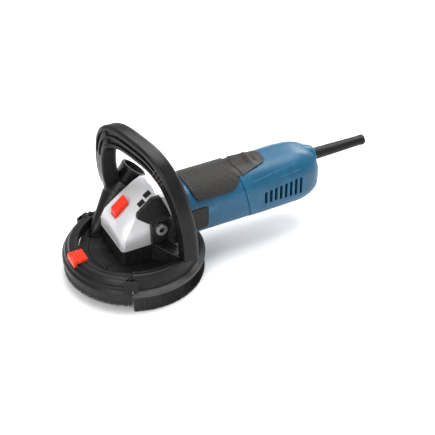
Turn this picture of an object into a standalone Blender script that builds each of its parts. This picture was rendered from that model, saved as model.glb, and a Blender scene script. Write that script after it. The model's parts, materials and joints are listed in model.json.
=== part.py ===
"""Concrete angle grinder with a dust hood, built as separate pieces.

Sizes are in millimetres and become metres when a mesh is made. +X runs along
the motor towards the cord sleeve, -Y is the near side and +Z is up. Heights
are measured from the surface the tool stands on; every mesh is then lowered
so that the origin lies on the spindle's end face, on the spindle axis.
"""
import math

import bmesh
import bpy
from mathutils import Matrix, Vector

MM = 0.001
GAP = 0.3

# Heights above the working surface
SPINDLE_END = 10.0
MOTOR_AXIS = 66.0
SLEEVE_AXIS = 80.0
HOOD_PLATE = 30.0
HEAD_BOTTOM = 52.0
HINGE_HEIGHT = 36.0

# Motor body: a rounded square that runs along X
BODY_HALF_WIDTH = 31.0
BODY_HALF_HEIGHT = 32.0
BODY_CORNER = 24.0
BODY_FRONT = 38.3
BODY_SEAM = 124.0
BODY_REAR = 220.0
WALL = 3.0

# Gears: tooth counts give the speed ratio of 3
RING_TEETH = 36
PINION_TEETH = 12
RING_PITCH_RADIUS = 21.0
PINION_PITCH_RADIUS = RING_PITCH_RADIUS * PINION_TEETH / RING_TEETH

# Dust hood, turned about a centre a little ahead of the spindle
HOOD_X = -3.0
RIM_RADIUS = 79.0
WALL_RADIUS = 72.5
PLATE_RADIUS = 59.5
FIXED_ARC = math.radians(114.5)
SEGMENT_ARC = math.radians(115.6)
BRUSH_INNER = 73.5
BRUSH_OUTER = 78.0
FRONT_BRUSH_BOTTOM = 7.6
HINGE_X = -33.5

LATCH_NEAR = -13.0
LATCH_FAR = 5.0
HINGE_LUG_RADIUS = 4.0
HINGE_SWEEP_RADIUS = 5.9

# Bow handle: its centreline runs from the far foot, over the top, to the near foot
BOW_DEPTH = 19.0
BOW_CORNER = 5.5
BOW_ROUTE = ((-4.0, 54.0, 84.0), (-7.0, 54.0, 102.0), (-7.0, 53.5, 127.0), (-5.0, 47.0, 146.0),
             (2.0, 32.0, 153.5), (10.5, 8.0, 151.5), (19.0, -17.0, 145.0), (25.5, -36.0, 130.5),
             (31.0, -48.5, 107.0), (34.5, -55.8, 81.0), (35.5, -59.8, 60.0), (35.0, -62.5, 44.6))
BOW_THICKNESSES = (19.0, 20.0, 22.0, 25.0, 26.0, 26.0, 25.5, 24.5, 22.5, 19.0, 17.5, 17.0)

# Dark plates let into both sides of the motor housing
SIDE_PLATE = (64.0, 64.0)
SIDE_PLATE_HALF_LENGTH = 10.6
SIDE_PLATE_HALF_HEIGHT = 14.0

# Switch: rows of (distance behind its front edge, half-width, level of its face)
SWITCH_FRONT = 110.5
SWITCH_ROWS = ((0.0, 19.0, "tongue"), (7.4, 20.0, "tongue"), (7.9, 20.0, "face"), (14.0, 18.5, "face"),
               (26.5, 15.5, "face"), (28.5, 15.0, "ridge"), (31.0, 14.4, "ridge"), (33.5, 13.8, "face"),
               (41.0, 11.5, "face"), (45.5, 6.5, "face"))
SWITCH_LEVELS = {"tongue": 1.05, "face": 2.1, "ridge": 2.9}

# Air slots in the rear cover
SLOT_COUNT = 7
SLOT_START = 147.0
SLOT_PITCH = 7.0
SLOT_WIDTH = 3.6
SLOT_HEIGHT = 20.5

# Side bolts through the brackets into the head
BOLT_X = 13.0
BOLT_HEIGHT = 74.0

# Suction duct: its upper end is a straight tube
DUCT_Y = 56.0
DUCT_RADIUS = 15.0
DUCT_RISE = math.radians(51.0)
DUCT_MOUTH = (25.7, DUCT_Y, 90.7)

COLOURS = {
    "blue_plastic": ((0.012, 0.115, 0.265), 0.42, 0.0),
    "black_plastic": ((0.018, 0.018, 0.020), 0.45, 0.0),
    "soft_grip": ((0.030, 0.030, 0.032), 0.75, 0.0),
    "red_plastic": ((0.86, 0.06, 0.015), 0.40, 0.0),
    "cast_aluminium": ((0.68, 0.68, 0.70), 0.42, 0.85),
    "bright_steel": ((0.62, 0.62, 0.64), 0.28, 1.0),
    "dark_steel": ((0.16, 0.16, 0.17), 0.42, 1.0),
    "copper": ((0.72, 0.30, 0.14), 0.35, 1.0),
    "carbon": ((0.03, 0.03, 0.03), 0.60, 0.0),
    "bristle": ((0.015, 0.015, 0.015), 0.80, 0.0),
    "rubber": ((0.02, 0.02, 0.02), 0.65, 0.0),
    "diamond_grit": ((0.42, 0.36, 0.22), 0.75, 0.3),
}


def clear_scene():
    for thing in list(bpy.data.objects):
        bpy.data.objects.remove(thing, do_unlink=True)


def finish_material(name, kind):
    colour, roughness, metallic = COLOURS[kind]
    material = bpy.data.materials.new(name + "_finish")
    material.use_nodes = True
    shader = material.node_tree.nodes["Principled BSDF"]
    shader.inputs["Base Color"].default_value = (*colour, 1.0)
    shader.inputs["Roughness"].default_value = roughness
    shader.inputs["Metallic"].default_value = metallic
    material.diffuse_color = (*colour, 1.0)
    return material


def place(point):
    """A point in millimetres above the working surface, as a place in metres."""
    return Vector((point[0], point[1], point[2] - SPINDLE_END)) * MM


def axis_empty(name, point):
    empty = bpy.data.objects.new(name, None)
    empty.location = place(point)
    bpy.context.scene.collection.objects.link(empty)
    bpy.context.view_layer.update()
    return empty


def span(side, near, far):
    """The low and high end of a distance from the middle plane, on either side."""
    return sorted((side * near, side * far))


def link_mesh(name, bm):
    bmesh.ops.recalc_face_normals(bm, faces=bm.faces)
    bmesh.ops.transform(bm, matrix=Matrix.Translation((0, 0, -SPINDLE_END)), verts=bm.verts)
    bmesh.ops.scale(bm, vec=(MM, MM, MM), verts=bm.verts)
    mesh = bpy.data.meshes.new(name)
    bm.to_mesh(mesh)
    bm.free()
    obj = bpy.data.objects.new(name, mesh)
    bpy.context.scene.collection.objects.link(obj)
    return obj


def piece(name, bm, kind, pivot=None):
    obj = link_mesh(name, bm)
    obj.data.shade_smooth()
    obj.data.set_sharp_from_angle(angle=math.radians(32))
    obj.data.materials.append(finish_material(name, kind))
    if pivot is not None:
        obj.data.transform(Matrix.Translation(-pivot.location))
        obj.parent = pivot
    return obj


def combine(obj, bm, operation):
    """Cuts a shape from a piece, or joins it on, with a hidden helper."""
    helper = link_mesh(obj.name + "_helper", bm)
    if obj.parent is not None:
        helper.data.transform(Matrix.Translation(-obj.parent.location))
        helper.parent = obj.parent
    helper.hide_render = True
    helper.display_type = "WIRE"
    step = obj.modifiers.new(operation.lower(), "BOOLEAN")
    step.operation = operation
    step.solver = "EXACT"
    step.object = helper
    return obj


def cut(obj, *shapes):
    for bm in shapes:
        combine(obj, bm, "DIFFERENCE")
    return obj


def join(obj, *shapes):
    for bm in shapes:
        combine(obj, bm, "UNION")
    return obj


def loft(sections, closed=False):
    """Joins equal rings of points; the two ends are capped unless it closes."""
    bm = bmesh.new()
    rings = [[bm.verts.new(point) for point in section] for section in sections]
    pairs = list(zip(rings, rings[1:]))
    if closed:
        pairs.append((rings[-1], rings[0]))
    for one, two in pairs:
        for i in range(len(one)):
            j = (i + 1) % len(one)
            bm.faces.new((one[i], one[j], two[j], two[i]))
    if not closed:
        bm.faces.new(rings[0])
        bm.faces.new(list(reversed(rings[-1])))
    return bm


def prism(outline, low, high, axis="Z"):
    """Extrudes an outline between two places on an axis."""
    lift = {
        "X": lambda a, b, c: (c, a, b),
        "Y": lambda a, b, c: (a, c, b),
        "Z": lambda a, b, c: (a, b, c),
    }[axis]
    return loft([[lift(a, b, level) for a, b in outline] for level in (low, high)])


def box(low, high):
    outline = [(low[0], low[1]), (high[0], low[1]), (high[0], high[1]), (low[0], high[1])]
    return prism(outline, low[2], high[2])


def circle(radius, steps, centre=(0.0, 0.0), turn=0.0):
    return [(centre[0] + radius * math.cos(turn + math.tau * i / steps),
             centre[1] + radius * math.sin(turn + math.tau * i / steps)) for i in range(steps)]


def rod(radius, low, high, axis="Z", centre=(0.0, 0.0), steps=20):
    return prism(circle(radius, steps, centre), low, high, axis)


def turned(profile, axis="Z", centre=(0.0, 0.0), steps=32):
    """Turns a closed (radius, height) outline all the way round an axis."""
    sections = []
    for i in range(steps):
        angle = math.tau * i / steps
        c, s = math.cos(angle), math.sin(angle)
        if axis == "Z":
            sections.append([(centre[0] + r * c, centre[1] + r * s, h) for r, h in profile])
        else:
            sections.append([(h, centre[0] + r * c, centre[1] + r * s) for r, h in profile])
    return loft(sections, closed=True)


def spun_solid(outline, axis="Z", centre=(0.0, 0.0), steps=24):
    """Turns an open outline whose two ends close on the axis."""
    bm = bmesh.new()
    rows = []
    for r, h in outline:
        row = []
        for a, b in circle(r, steps, centre):
            row.append(bm.verts.new((a, b, h) if axis == "Z" else (h, a, b)))
        rows.append(row)
    for one, two in zip(rows, rows[1:]):
        for i in range(steps):
            j = (i + 1) % steps
            bm.faces.new((one[i], one[j], two[j], two[i]))
    bm.faces.new(rows[0])
    bm.faces.new(list(reversed(rows[-1])))
    return bm


def ring(inner, outer, low, high, axis="Z", centre=(0.0, 0.0), steps=32):
    profile = [(inner, low), (outer, low), (outer, high), (inner, high)]
    return turned(profile, axis, centre, steps)


def arc_solid(profile_at, start, stop, steps):
    """Sweeps an outline round the hood's centre; it may change with the angle."""
    sections = []
    for i in range(steps + 1):
        angle = start + (stop - start) * i / steps
        sections.append([(HOOD_X + r * math.cos(angle), r * math.sin(angle), h)
                         for r, h in profile_at(angle)])
    return loft(sections)


def rounded_square(half_width, half_height, corner, corner_steps=5):
    points = []
    for turn, sy, sz in ((0, 1, 1), (1, -1, 1), (2, -1, -1), (3, 1, -1)):
        for i in range(corner_steps + 1):
            angle = (turn + i / corner_steps) * math.pi / 2
            points.append((sy * (half_width - corner) + corner * math.cos(angle),
                           sz * (half_height - corner) + corner * math.sin(angle)))
    return points


def body_section(x, inset=0.0, drop=0.0):
    corner = max(BODY_CORNER - inset, 4.0)
    ring_points = rounded_square(BODY_HALF_WIDTH - inset, BODY_HALF_HEIGHT - inset, corner)
    return [(x, y, MOTOR_AXIS - drop + z) for y, z in ring_points]


def skin_point(x, along, offset):
    """A point on the body's skin, a distance along it from the top line."""
    flat = BODY_HALF_WIDTH - BODY_CORNER
    high = MOTOR_AXIS + BODY_HALF_HEIGHT - BODY_CORNER
    side = math.copysign(1.0, along)
    run = abs(along)
    if run <= flat:
        return (x, along, high + BODY_CORNER + offset)
    angle = min((run - flat) / BODY_CORNER, math.pi / 2)
    reach = BODY_CORNER + offset
    return (x, side * (flat + reach * math.sin(angle)), high + reach * math.cos(angle))


def skin_patch(rows, under, over):
    """A closed sheet on the body's skin; under and over give its two faces."""
    bm = bmesh.new()
    layers = []
    for offset_at in (under, over):
        layers.append([[bm.verts.new(skin_point(x, s, offset_at(x, s))) for x, s in row]
                       for row in rows])
    low, high = layers
    count, width = len(rows), len(rows[0])
    for i in range(count - 1):
        for j in range(width - 1):
            for grid in (low, high):
                bm.faces.new((grid[i][j], grid[i][j + 1], grid[i + 1][j + 1], grid[i + 1][j]))
    border = [(0, j) for j in range(width)]
    border += [(i, width - 1) for i in range(1, count)]
    border += [(count - 1, j) for j in range(width - 2, -1, -1)]
    border += [(i, 0) for i in range(count - 2, 0, -1)]
    for (a, b), (c, d) in zip(border, border[1:] + border[:1]):
        bm.faces.new((low[a][b], low[c][d], high[c][d], high[a][b]))
    return bm


# ---------------------------------------------------------------- gear head

def head_section(x, bottom, half, side_top, shoulder, shoulder_half, crown, crown_half):
    outline = [(-half, bottom), (-half, side_top), (-shoulder_half, shoulder), (-crown_half, crown),
               (crown_half, crown), (shoulder_half, shoulder), (half, side_top), (half, bottom)]
    return [(x, y, z) for y, z in outline]


def head_outline(margin=0.0):
    """The outline of the head's foot, seen from above."""
    front, back, half, nose = -29.0 + margin, 27.0 - margin, 30.0 - margin, 27.0 - margin
    return [(front, -nose), (front + 3, -half), (back, -half), (back, half), (front + 3, half), (front, nose)]


def build_gear_head():
    head = piece("gear_housing", loft([
        head_section(-29.0, HEAD_BOTTOM, 27.0, 60.0, 66.0, 22.0, 70.0, 12.0),
        head_section(-25.0, HEAD_BOTTOM, 30.0, 63.0, 73.0, 23.5, 78.0, 11.0),
        head_section(-8.0, HEAD_BOTTOM, 30.0, 71.0, 86.0, 23.5, 92.5, 9.0),
        head_section(8.0, HEAD_BOTTOM, 30.5, 79.0, 98.0, 22.5, 104.0, 9.0),
        head_section(17.0, HEAD_BOTTOM, 31.0, 83.0, 103.0, 22.0, 109.0, 9.0),
        head_section(27.0, HEAD_BOTTOM, 31.0, 84.0, 100.0, 23.0, 105.0, 12.0),
        head_section(28.0, 37.0, 31.0, 84.0, 99.0, 23.0, 104.0, 12.0),
        head_section(38.0, 35.0, 31.0, 82.0, 94.0, 23.0, 98.5, 14.0),
    ]), "cast_aluminium")
    cut(head, rod(24.5, 40.0, 64.0, steps=32), rod(8.2, 60.0, 84.0))
    cut(head, rod(9.5, 6.0, 26.0, "X", (0.0, MOTOR_AXIS)), rod(13.3, 23.0, 45.0, "X", (0.0, MOTOR_AXIS), 28))
    cut(head, box((-25.3, -6.4, 72.2), (-8.6, 6.4, 110.0)), rod(2.4, 60.0, 74.0, "Z", (-14.5, 0.0), 12))
    for side in (-1, 1):
        cut(head, prism(circle(4.3, 14, (BOLT_X, BOLT_HEIGHT)), side * 22.5, side * 34.0, "Y"))
        for x in (-21.0, 21.5):
            cut(head, rod(2.2, 50.0, 61.0, "Z", (x, side * 22.5), 10))

    flange = piece("bearing_flange", prism(head_outline(), 49.0, HEAD_BOTTOM - GAP), "cast_aluminium")
    join(flange, rod(21.0, 31.0, 50.0, steps=32))
    cut(flange, rod(16.2, 36.5, 60.0, steps=32), rod(9.0, 20.0, 40.0, steps=24))
    for side in (-1, 1):
        for x in (-21.0, 21.5):
            cut(flange, rod(2.2, 40.0, 60.0, "Z", (x, side * 22.5), 10),
                rod(4.0, 48.0, 50.2, "Z", (x, side * 22.5), 12))
    number = 0
    for side in (-1, 1):
        for x in (-21.0, 21.5):
            number += 1
            screw = spun_solid([(3.7, 49.1), (3.7, 50.0), (1.9, 50.0), (1.9, 60.5)],
                               "Z", (x, side * 22.5), 12)
            piece("flange_screw_%d" % number, screw, "dark_steel")
    piece("spindle_bearing", ring(6.3, 15.9, 37.0, 47.0, steps=28), "bright_steel")
    piece("spindle_bush", ring(5.15, 7.9, 66.5, 82.0, steps=20), "bright_steel")


# ------------------------------------------------------------ spindle group

def bevel_teeth(count, inner, outer, pitch_inner, pitch_outer, width, height, direction, turn):
    """Tooth blocks on a cone; heights are along the gear's own axis."""
    blocks = []
    for i in range(count):
        angle = turn + math.tau * i / count
        out = Vector((math.cos(angle), math.sin(angle)))
        across = Vector((-out.y, out.x))
        corners = []
        for radius, pitch in ((inner, pitch_inner), (outer, pitch_outer)):
            half = width * radius / outer / 2
            section = []
            for shift, lift in ((-half * 1.5, -2.4), (half * 1.5, -2.4),
                                (half * 0.8, height), (-half * 0.8, height)):
                spot = out * radius + across * shift
                section.append((spot.x, spot.y, pitch + direction * lift))
            corners.append(section)
        blocks.append(corners)
    return blocks


def build_spindle_group(pivot):
    spindle = spun_solid([(6.2, SPINDLE_END), (7.0, 10.8), (7.0, 24.0), (8.4, 24.3), (8.4, 36.7),
                          (6.0, 37.0), (6.0, 64.5), (4.85, 65.0), (4.85, 82.5), (4.2, 83.2)], steps=24)
    piece("spindle", spindle, "bright_steel", pivot)

    gear = piece("ring_gear", turned([(6.3, 53.0), (19.0, 53.0), (22.2, 56.0), (22.0, 57.2), (14.5, 59.4),
                                      (13.5, 58.2), (6.3, 58.2)], steps=36), "dark_steel", pivot)
    for section in bevel_teeth(RING_TEETH, 14.8, 21.6, 60.2, 58.1, 1.15, 0.55, 1, 0.0):
        join(gear, loft(section))

    piece("inner_flange", turned([(8.7, 25.0), (19.0, 25.0), (20.0, 26.0), (20.0, 28.0), (12.0, 29.5),
                                  (8.7, 29.5)], steps=28), "bright_steel", pivot)
    cup = turned([(7.4, 20.5), (26.0, 20.5), (37.0, 14.0), (47.0, 9.6), (61.5, 9.6), (62.5, 10.6),
                  (62.0, 13.6), (48.0, 13.6), (39.0, 18.2), (29.0, 24.0), (7.4, 24.0)], steps=48)
    cup_wheel = piece("cup_wheel", cup, "bright_steel", pivot)
    for i in range(8):
        angle = math.tau * (i + 0.5) / 8
        cut(cup_wheel, rod(3.2, 8.0, 26.0, "Z", (42.5 * math.cos(angle), 42.5 * math.sin(angle)), 12))
    rim = piece("diamond_ring", ring(51.0, 62.2, 3.0, 9.3, steps=48), "diamond_grit", pivot)
    for i in range(9):
        slot = box((45.0, -1.6, 0.0), (70.0, 1.6, 7.8))
        bmesh.ops.rotate(slot, matrix=Matrix.Rotation(math.tau * i / 18, 3, "Z"), verts=slot.verts)
        opposite = slot.copy()
        bmesh.ops.rotate(opposite, matrix=Matrix.Rotation(math.pi, 3, "Z"), verts=opposite.verts)
        cut(rim, slot, opposite)
    nut = piece("clamping_nut", turned([(7.4, 13.0), (15.0, 13.0), (17.0, 14.5), (17.0, 20.2), (7.4, 20.2)],
                                       steps=28), "dark_steel", pivot)
    for x in (-11.5, 11.5):
        cut(nut, rod(2.0, 10.0, 17.0, "Z", (x, 0.0), 12))


# ----------------------------------------------------------- armature group

def on_motor_axis(bm):
    bmesh.ops.translate(bm, vec=(0.0, 0.0, MOTOR_AXIS), verts=bm.verts)
    return bm


def notched_outline(radius, notch_radius, notches, open_share):
    points = []
    for i in range(notches):
        start = math.tau * i / notches
        step = math.tau / notches
        for share, r in ((0.0, radius), (0.5 * (1 - open_share), radius), (1 - open_share, radius),
                         (1 - open_share * 0.9, notch_radius), (1 - open_share * 0.1, notch_radius)):
            angle = start + step * share
            points.append((r * math.cos(angle), r * math.sin(angle)))
    return points


def build_armature_group(pivot):
    shaft = spun_solid([(3.4, 12.5), (3.6, 13.0), (3.6, 22.0), (4.0, 22.4), (4.0, 148.0), (3.6, 148.6)],
                       "X", (0.0, MOTOR_AXIS), 16)
    piece("armature_shaft", shaft, "bright_steel", pivot)

    reach = PINION_PITCH_RADIUS
    pinion = piece("pinion", on_motor_axis(turned([(3.9, 14.6), (4.1, 14.6), (5.4, 21.4), (3.9, 21.4)], "X",
                                                  steps=PINION_TEETH * 2)), "dark_steel", pivot)
    for i in range(PINION_TEETH):
        angle = -math.pi / 2 + math.tau * (i + 0.5) / PINION_TEETH
        out = Vector((math.cos(angle), math.sin(angle)))
        across = Vector((-out.y, out.x))
        sections = []
        for x, tip, root, half in ((14.8, reach * 0.69 + 0.5, 3.95, 0.38), (21.2, reach + 0.6, 4.3, 0.52)):
            spots = [out * root - across * half * 1.5, out * root + across * half * 1.5,
                     out * tip + across * half * 0.8, out * tip - across * half * 0.8]
            sections.append([(x, spot.x, MOTOR_AXIS + spot.y) for spot in spots])
        join(pinion, loft(sections))

    piece("front_bearing", on_motor_axis(ring(4.3, 13.0, 24.0, 33.0, "X", steps=28)), "bright_steel")
    piece("rear_bearing", on_motor_axis(ring(4.3, 11.0, 138.0, 145.0, "X", steps=24)), "bright_steel")

    disc = turned([(4.3, 41.0), (10.0, 41.0), (24.5, 42.0), (24.5, 43.4), (9.0, 43.4), (9.0, 50.0),
                   (4.3, 50.0)], "X", steps=24)
    fan = piece("fan", on_motor_axis(disc), "black_plastic", pivot)
    for i in range(11):
        blade = box((42.6, 8.0, -0.8), (49.5, 24.0, 0.8))
        bmesh.ops.rotate(blade, matrix=Matrix.Rotation(math.tau * i / 11, 3, "X"), verts=blade.verts)
        join(fan, on_motor_axis(blade))

    stack = prism(notched_outline(16.6, 13.6, 12, 0.24), 62.0, 112.0, "X")
    core = piece("armature_core", on_motor_axis(stack), "dark_steel", pivot)
    cut(core, rod(4.3, 50.0, 120.0, "X", (0.0, MOTOR_AXIS), 16))
    for name, low, high in (("front_winding", 53.5, 61.7), ("rear_winding", 112.3, 119.5)):
        middle = (low + high) / 2
        profile = [(4.3, low), (11.0, low), (15.2, middle - 1.5), (15.2, middle + 1.5), (11.0, high),
                   (4.3, high)]
        piece(name, on_motor_axis(turned(profile, "X", steps=20)), "copper", pivot)
    piece("commutator", on_motor_axis(ring(4.3, 11.5, 120.0, 134.0, "X", steps=24)), "copper", pivot)


def build_motor():
    stator = piece("stator", on_motor_axis(rod(26.4, 62.0, 112.0, "X", steps=40)), "dark_steel")
    cut(stator, on_motor_axis(rod(17.4, 50.0, 130.0, "X", steps=32)))
    for side in (-1, 1):
        low, high = span(side, 12.0, 23.6)
        cut(stator, on_motor_axis(box((50.0, low, -10.5), (130.0, high, 10.5))))
    for name, side in (("near_field_coil", -1), ("far_field_coil", 1)):
        low, high = span(side, 18.2, 23.2)
        coil = piece(name, box((57.0, low, MOTOR_AXIS - 9.8), (117.0, high, MOTOR_AXIS + 9.8)), "copper")
        cut(coil, box((63.0, low - 5, MOTOR_AXIS - 4.0), (111.0, high + 5, MOTOR_AXIS + 4.0)))
    for name, side in (("near", -1), ("far", 1)):
        low, high = span(side, 11.9, 22.0)
        brush = box((124.0, low, -4.0), (130.0, high, 4.0))
        piece(name + "_carbon_brush", on_motor_axis(brush), "carbon")
        low, high = span(side, 13.0, 25.5)
        shell = box((122.0, low, -6.0), (132.0, high, 6.0))
        holder = piece(name + "_brush_holder", on_motor_axis(shell), "bright_steel")
        low, high = span(side, 5.0, 24.3)
        cut(holder, on_motor_axis(box((123.7, low, -4.3), (130.3, high, 4.3))))
    piece("fan_baffle", on_motor_axis(ring(20.0, 27.6, 51.0, 52.6, "X", steps=32)), "black_plastic")


# ------------------------------------------------------------------- casing

def side_plate_outline(inset):
    shape = rounded_square(SIDE_PLATE_HALF_LENGTH - inset, SIDE_PLATE_HALF_HEIGHT - inset, 4.0 - inset, 3)
    return [(SIDE_PLATE[0] + a, SIDE_PLATE[1] + b) for a, b in shape]


def build_casing():
    shell = loft([body_section(BODY_FRONT), body_section(BODY_SEAM - GAP)])
    housing = piece("motor_housing", shell, "blue_plastic")
    cut(housing, loft([body_section(30.0, WALL), body_section(130.0, WALL)]))
    for name, side in (("near_side_plate", -1), ("far_side_plate", 1)):
        low, high = span(side, BODY_HALF_WIDTH - 1.5, BODY_HALF_WIDTH + 4.0)
        cut(housing, prism(side_plate_outline(0.0), low, high, "Y"))
        low, high = span(side, BODY_HALF_WIDTH - 1.2, BODY_HALF_WIDTH + 0.5)
        piece(name, prism(side_plate_outline(GAP), low, high, "Y"), "black_plastic")

    cover = piece("rear_cover", loft([
        body_section(BODY_SEAM), body_section(190.0), body_section(202.0, 1.8), body_section(211.0, 5.0),
        body_section(217.0, 10.0), body_section(BODY_REAR, 16.0)]), "blue_plastic")
    join(cover, rod(13.6, 192.0, 219.0, "X", (0.0, SLEEVE_AXIS), 24))
    join(cover, loft([[(x, y, z) for y, z in circle(r, 24, (0.0, SLEEVE_AXIS))]
                      for x, r in ((218.0, 13.6), (221.0, 12.4), (223.0, 10.4))]))
    cut(cover, loft([body_section(120.0, WALL), body_section(190.0, WALL), body_section(200.0, 4.8),
                     body_section(207.5, 9.0)]))
    cut(cover, rod(7.6, 200.0, 235.0, "X", (0.0, SLEEVE_AXIS), 24))
    cut(cover, box((126.0, -2.6, 90.0), (143.5, 2.6, 110.0)))
    for side in (-1, 1):
        low, high = span(side, 24.0, 36.0)
        for i in range(SLOT_COUNT):
            x = SLOT_START + SLOT_PITCH * i
            lower = 55.0 + 0.3 * i
            cut(cover, box((x, low, lower), (x + SLOT_WIDTH, high, lower + SLOT_HEIGHT)))

    columns = [s / 6 for s in range(-6, 7)]
    rows = []
    for x, half in ((58.0, 28.0), (61.5, 32.7), (75.0, 32.7), (90.0, 32.7), (105.0, 32.7), (111.0, 27.4),
                    (116.5, 22.8)):
        row = []
        for share in columns:
            s = share * half
            rear_pull = max(0.0, (x - 100.0) / 16.5)
            row.append((x - 6.5 * rear_pull * (1.0 - min(abs(s) / 22.8, 1.0)), s))
        rows.append(row)
    grip = skin_patch(rows, lambda x, s: 1.4 if x > 100.0 else 0.4, lambda x, s: 2.2 if x > 100.0 else 1.8)
    piece("grip_overlay", grip, "soft_grip")

    piece("switch_module", box((150.0, -9.0, 68.0), (168.0, 9.0, 87.0)), "black_plastic")
    piece("electronics_module", box((170.0, -17.0, 44.0), (200.0, 17.0, 58.0)), "black_plastic")
    clamp = piece("cord_clamp", box((186.0, -10.0, 66.0), (196.0, 10.0, 73.5)), "black_plastic")
    cut(clamp, rod(4.6, 180.0, 200.0, "X", (0.0, SLEEVE_AXIS), 16))
    sleeve = turned([(4.2, 202.0), (9.6, 202.0), (9.6, 206.5), (7.2, 207.1), (7.0, 221.0), (5.8, 285.0),
                     (6.7, 286.0), (6.7, 289.5), (6.1, 290.5), (4.2, 290.5)], "X", (0.0, SLEEVE_AXIS), 20)
    piece("cord_sleeve", sleeve, "rubber")


def build_switch(pivot):
    rows = []
    heights = {}
    for run, half, level in SWITCH_ROWS:
        row = []
        for i in range(-4, 5):
            share = i / 4
            spot = (SWITCH_FRONT + run + 6.0 * max(0.0, 1 - run / 24.0) * abs(share), share * half)
            heights[spot] = SWITCH_LEVELS[level]
            row.append(spot)
        rows.append(row)
    sheet = skin_patch(rows, lambda x, s: 0.4, lambda x, s: heights[(x, s)])
    slider = piece("switch_slider", sheet, "soft_grip", pivot)
    join(slider, box((133.0, -2.2, 88.0), (142.0, 2.2, 99.2)))


def build_lock_button(pivot):
    outline = [(-24.8, 76.0), (-24.8, 85.0), (-23.6, 86.8), (-10.8, 97.6), (-9.1, 97.0), (-9.1, 76.0)]
    button = piece("lock_button", prism(outline, -6.0, 6.0, "Y"), "red_plastic", pivot)
    join(button, rod(1.9, 67.6, 78.0, "Z", (-14.5, 0.0), 12))
    wire = []
    turns, per_turn = 3, 8
    for i in range(turns * per_turn + 1):
        angle = math.tau * i / per_turn
        centre = Vector((-14.5 + 3.1 * math.cos(angle), 3.1 * math.sin(angle),
                         72.9 + 2.4 * i / (turns * per_turn)))
        out = Vector((math.cos(angle), math.sin(angle), 0.0))
        wire.append([centre + out * a + Vector((0, 0, b)) for a, b in circle(0.3, 5)])
    piece("lock_spring", loft(wire), "bright_steel", pivot)


# -------------------------------------------------------------------- hood

def wall_top(angle):
    """The fixed rim stands tall beside the near leg and drops low under the motor."""
    run = abs(math.degrees(angle))
    share = min(max((run - 44.0) / 20.0, 0.0), 1.0)
    rise = 14.0 if angle < 0 else 7.0
    return HOOD_PLATE + rise * share * share * (3 - 2 * share)


def fixed_rim(angle):
    top = wall_top(angle)
    return [(55.0, HOOD_PLATE - 2.5), (55.0, HOOD_PLATE - 0.5), (60.6, HOOD_PLATE - 0.1),
            (62.0, top - 1.2), (64.0, top), (69.0, top), (71.4, top - 1.6),
            (WALL_RADIUS, HOOD_PLATE - 3.4), (RIM_RADIUS, 22.4), (RIM_RADIUS, 19.6), (73.2, 19.6),
            (69.2, 24.6), (68.6, top - 4.0), (64.5, top - 3.0), (61.5, HOOD_PLATE - 2.8)]


def front_rim(angle):
    return [(60.4, 36.6), (60.4, 39.6), (69.2, 39.6), (71.0, 38.4), (WALL_RADIUS, 32.4), (75.2, 31.4),
            (76.2, 27.4), (78.6, 25.4), (RIM_RADIUS, 22.4), (RIM_RADIUS, 19.6), (73.2, 19.6), (71.0, 24.6),
            (69.2, 35.2), (67.6, 36.6)]


def hinge_tab(angle):
    """A raised block on the wall that hides the hinge."""
    inner = WALL_RADIUS + 0.4
    return [(inner, 27.0), (76.0, 27.0), (76.0, 38.0), (74.5, 39.5), (68.0, 39.5), (68.0, 33.0),
            (inner, 33.0)]


def brush_profile(bottom):
    outline = [(BRUSH_INNER, bottom), (BRUSH_OUTER, bottom), (BRUSH_OUTER, 19.3), (BRUSH_INNER, 19.3)]
    return lambda angle: outline


def hinge_rod(radius, near_end, far_end, side, steps=16):
    low, high = span(side, near_end, far_end)
    return prism(circle(radius, steps, (HINGE_X, HINGE_HEIGHT)), low, high, "Y")


def build_hood():
    plate = turned([(21.5, HOOD_PLATE - 3), (PLATE_RADIUS, HOOD_PLATE - 3), (PLATE_RADIUS, HOOD_PLATE),
                    (21.5, HOOD_PLATE)], "Z", (HOOD_X, 0.0), 48)
    hood = piece("hood_body", plate, "black_plastic")
    join(hood, arc_solid(fixed_rim, -FIXED_ARC, FIXED_ARC, 36))
    cut(hood, rod(26.0, 20.0, 40.0, steps=32))
    duct_hole = [(-40.0, 37.5), (-31.0, 44.5), (-18.0, 49.0), (-2.0, 51.0), (-2.0, 45.5), (-14.0, 38.5),
                 (-28.0, 36.0)]
    cut(hood, prism(duct_hole, 20.0, 33.0))
    for side in (-1, 1):
        low, high = span(side, 60.6, 64.4)
        join(hood, hinge_rod(HINGE_LUG_RADIUS, 60.6, 64.4, side))
        join(hood, box((HINGE_X, low, HINGE_HEIGHT - 3.4), (-26.0, high, HINGE_HEIGHT + 3.4)))
        join(hood, arc_solid(hinge_tab, side * math.radians(108.0), side * math.radians(114.4), 3))
        cut(hood, hinge_rod(1.8, 50.0, 66.0, side, 12), hinge_rod(HINGE_SWEEP_RADIUS, 50.0, 60.55, side))
        name = "hinge_pin_near" if side < 0 else "hinge_pin_far"
        piece(name, hinge_rod(1.5, 56.2, 64.8, side, 12), "bright_steel")
    piece("hood_brush", arc_solid(brush_profile(0.0), -FIXED_ARC, FIXED_ARC, 36), "bristle")

    collar = piece("neck_collar", prism(head_outline(0.2), HOOD_PLATE + GAP, 48.7), "black_plastic")
    cut(collar, rod(21.4, 20.0, 60.0, steps=32))
    cut(collar, rod(1.9, -40.0, 40.0, "Y", (24.2, 39.5), 12), box((20.0, -1.2, 20.0), (30.0, 1.2, 60.0)))
    clamp_screw = spun_solid([(3.2, 33.0), (3.2, 30.2), (1.6, 30.2), (1.6, -29.0)], steps=12)
    bmesh.ops.rotate(clamp_screw, matrix=Matrix.Rotation(math.pi / 2, 3, "X"), verts=clamp_screw.verts)
    bmesh.ops.translate(clamp_screw, vec=(24.2, 0.0, 39.5), verts=clamp_screw.verts)
    piece("collar_screw", clamp_screw, "dark_steel")


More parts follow.
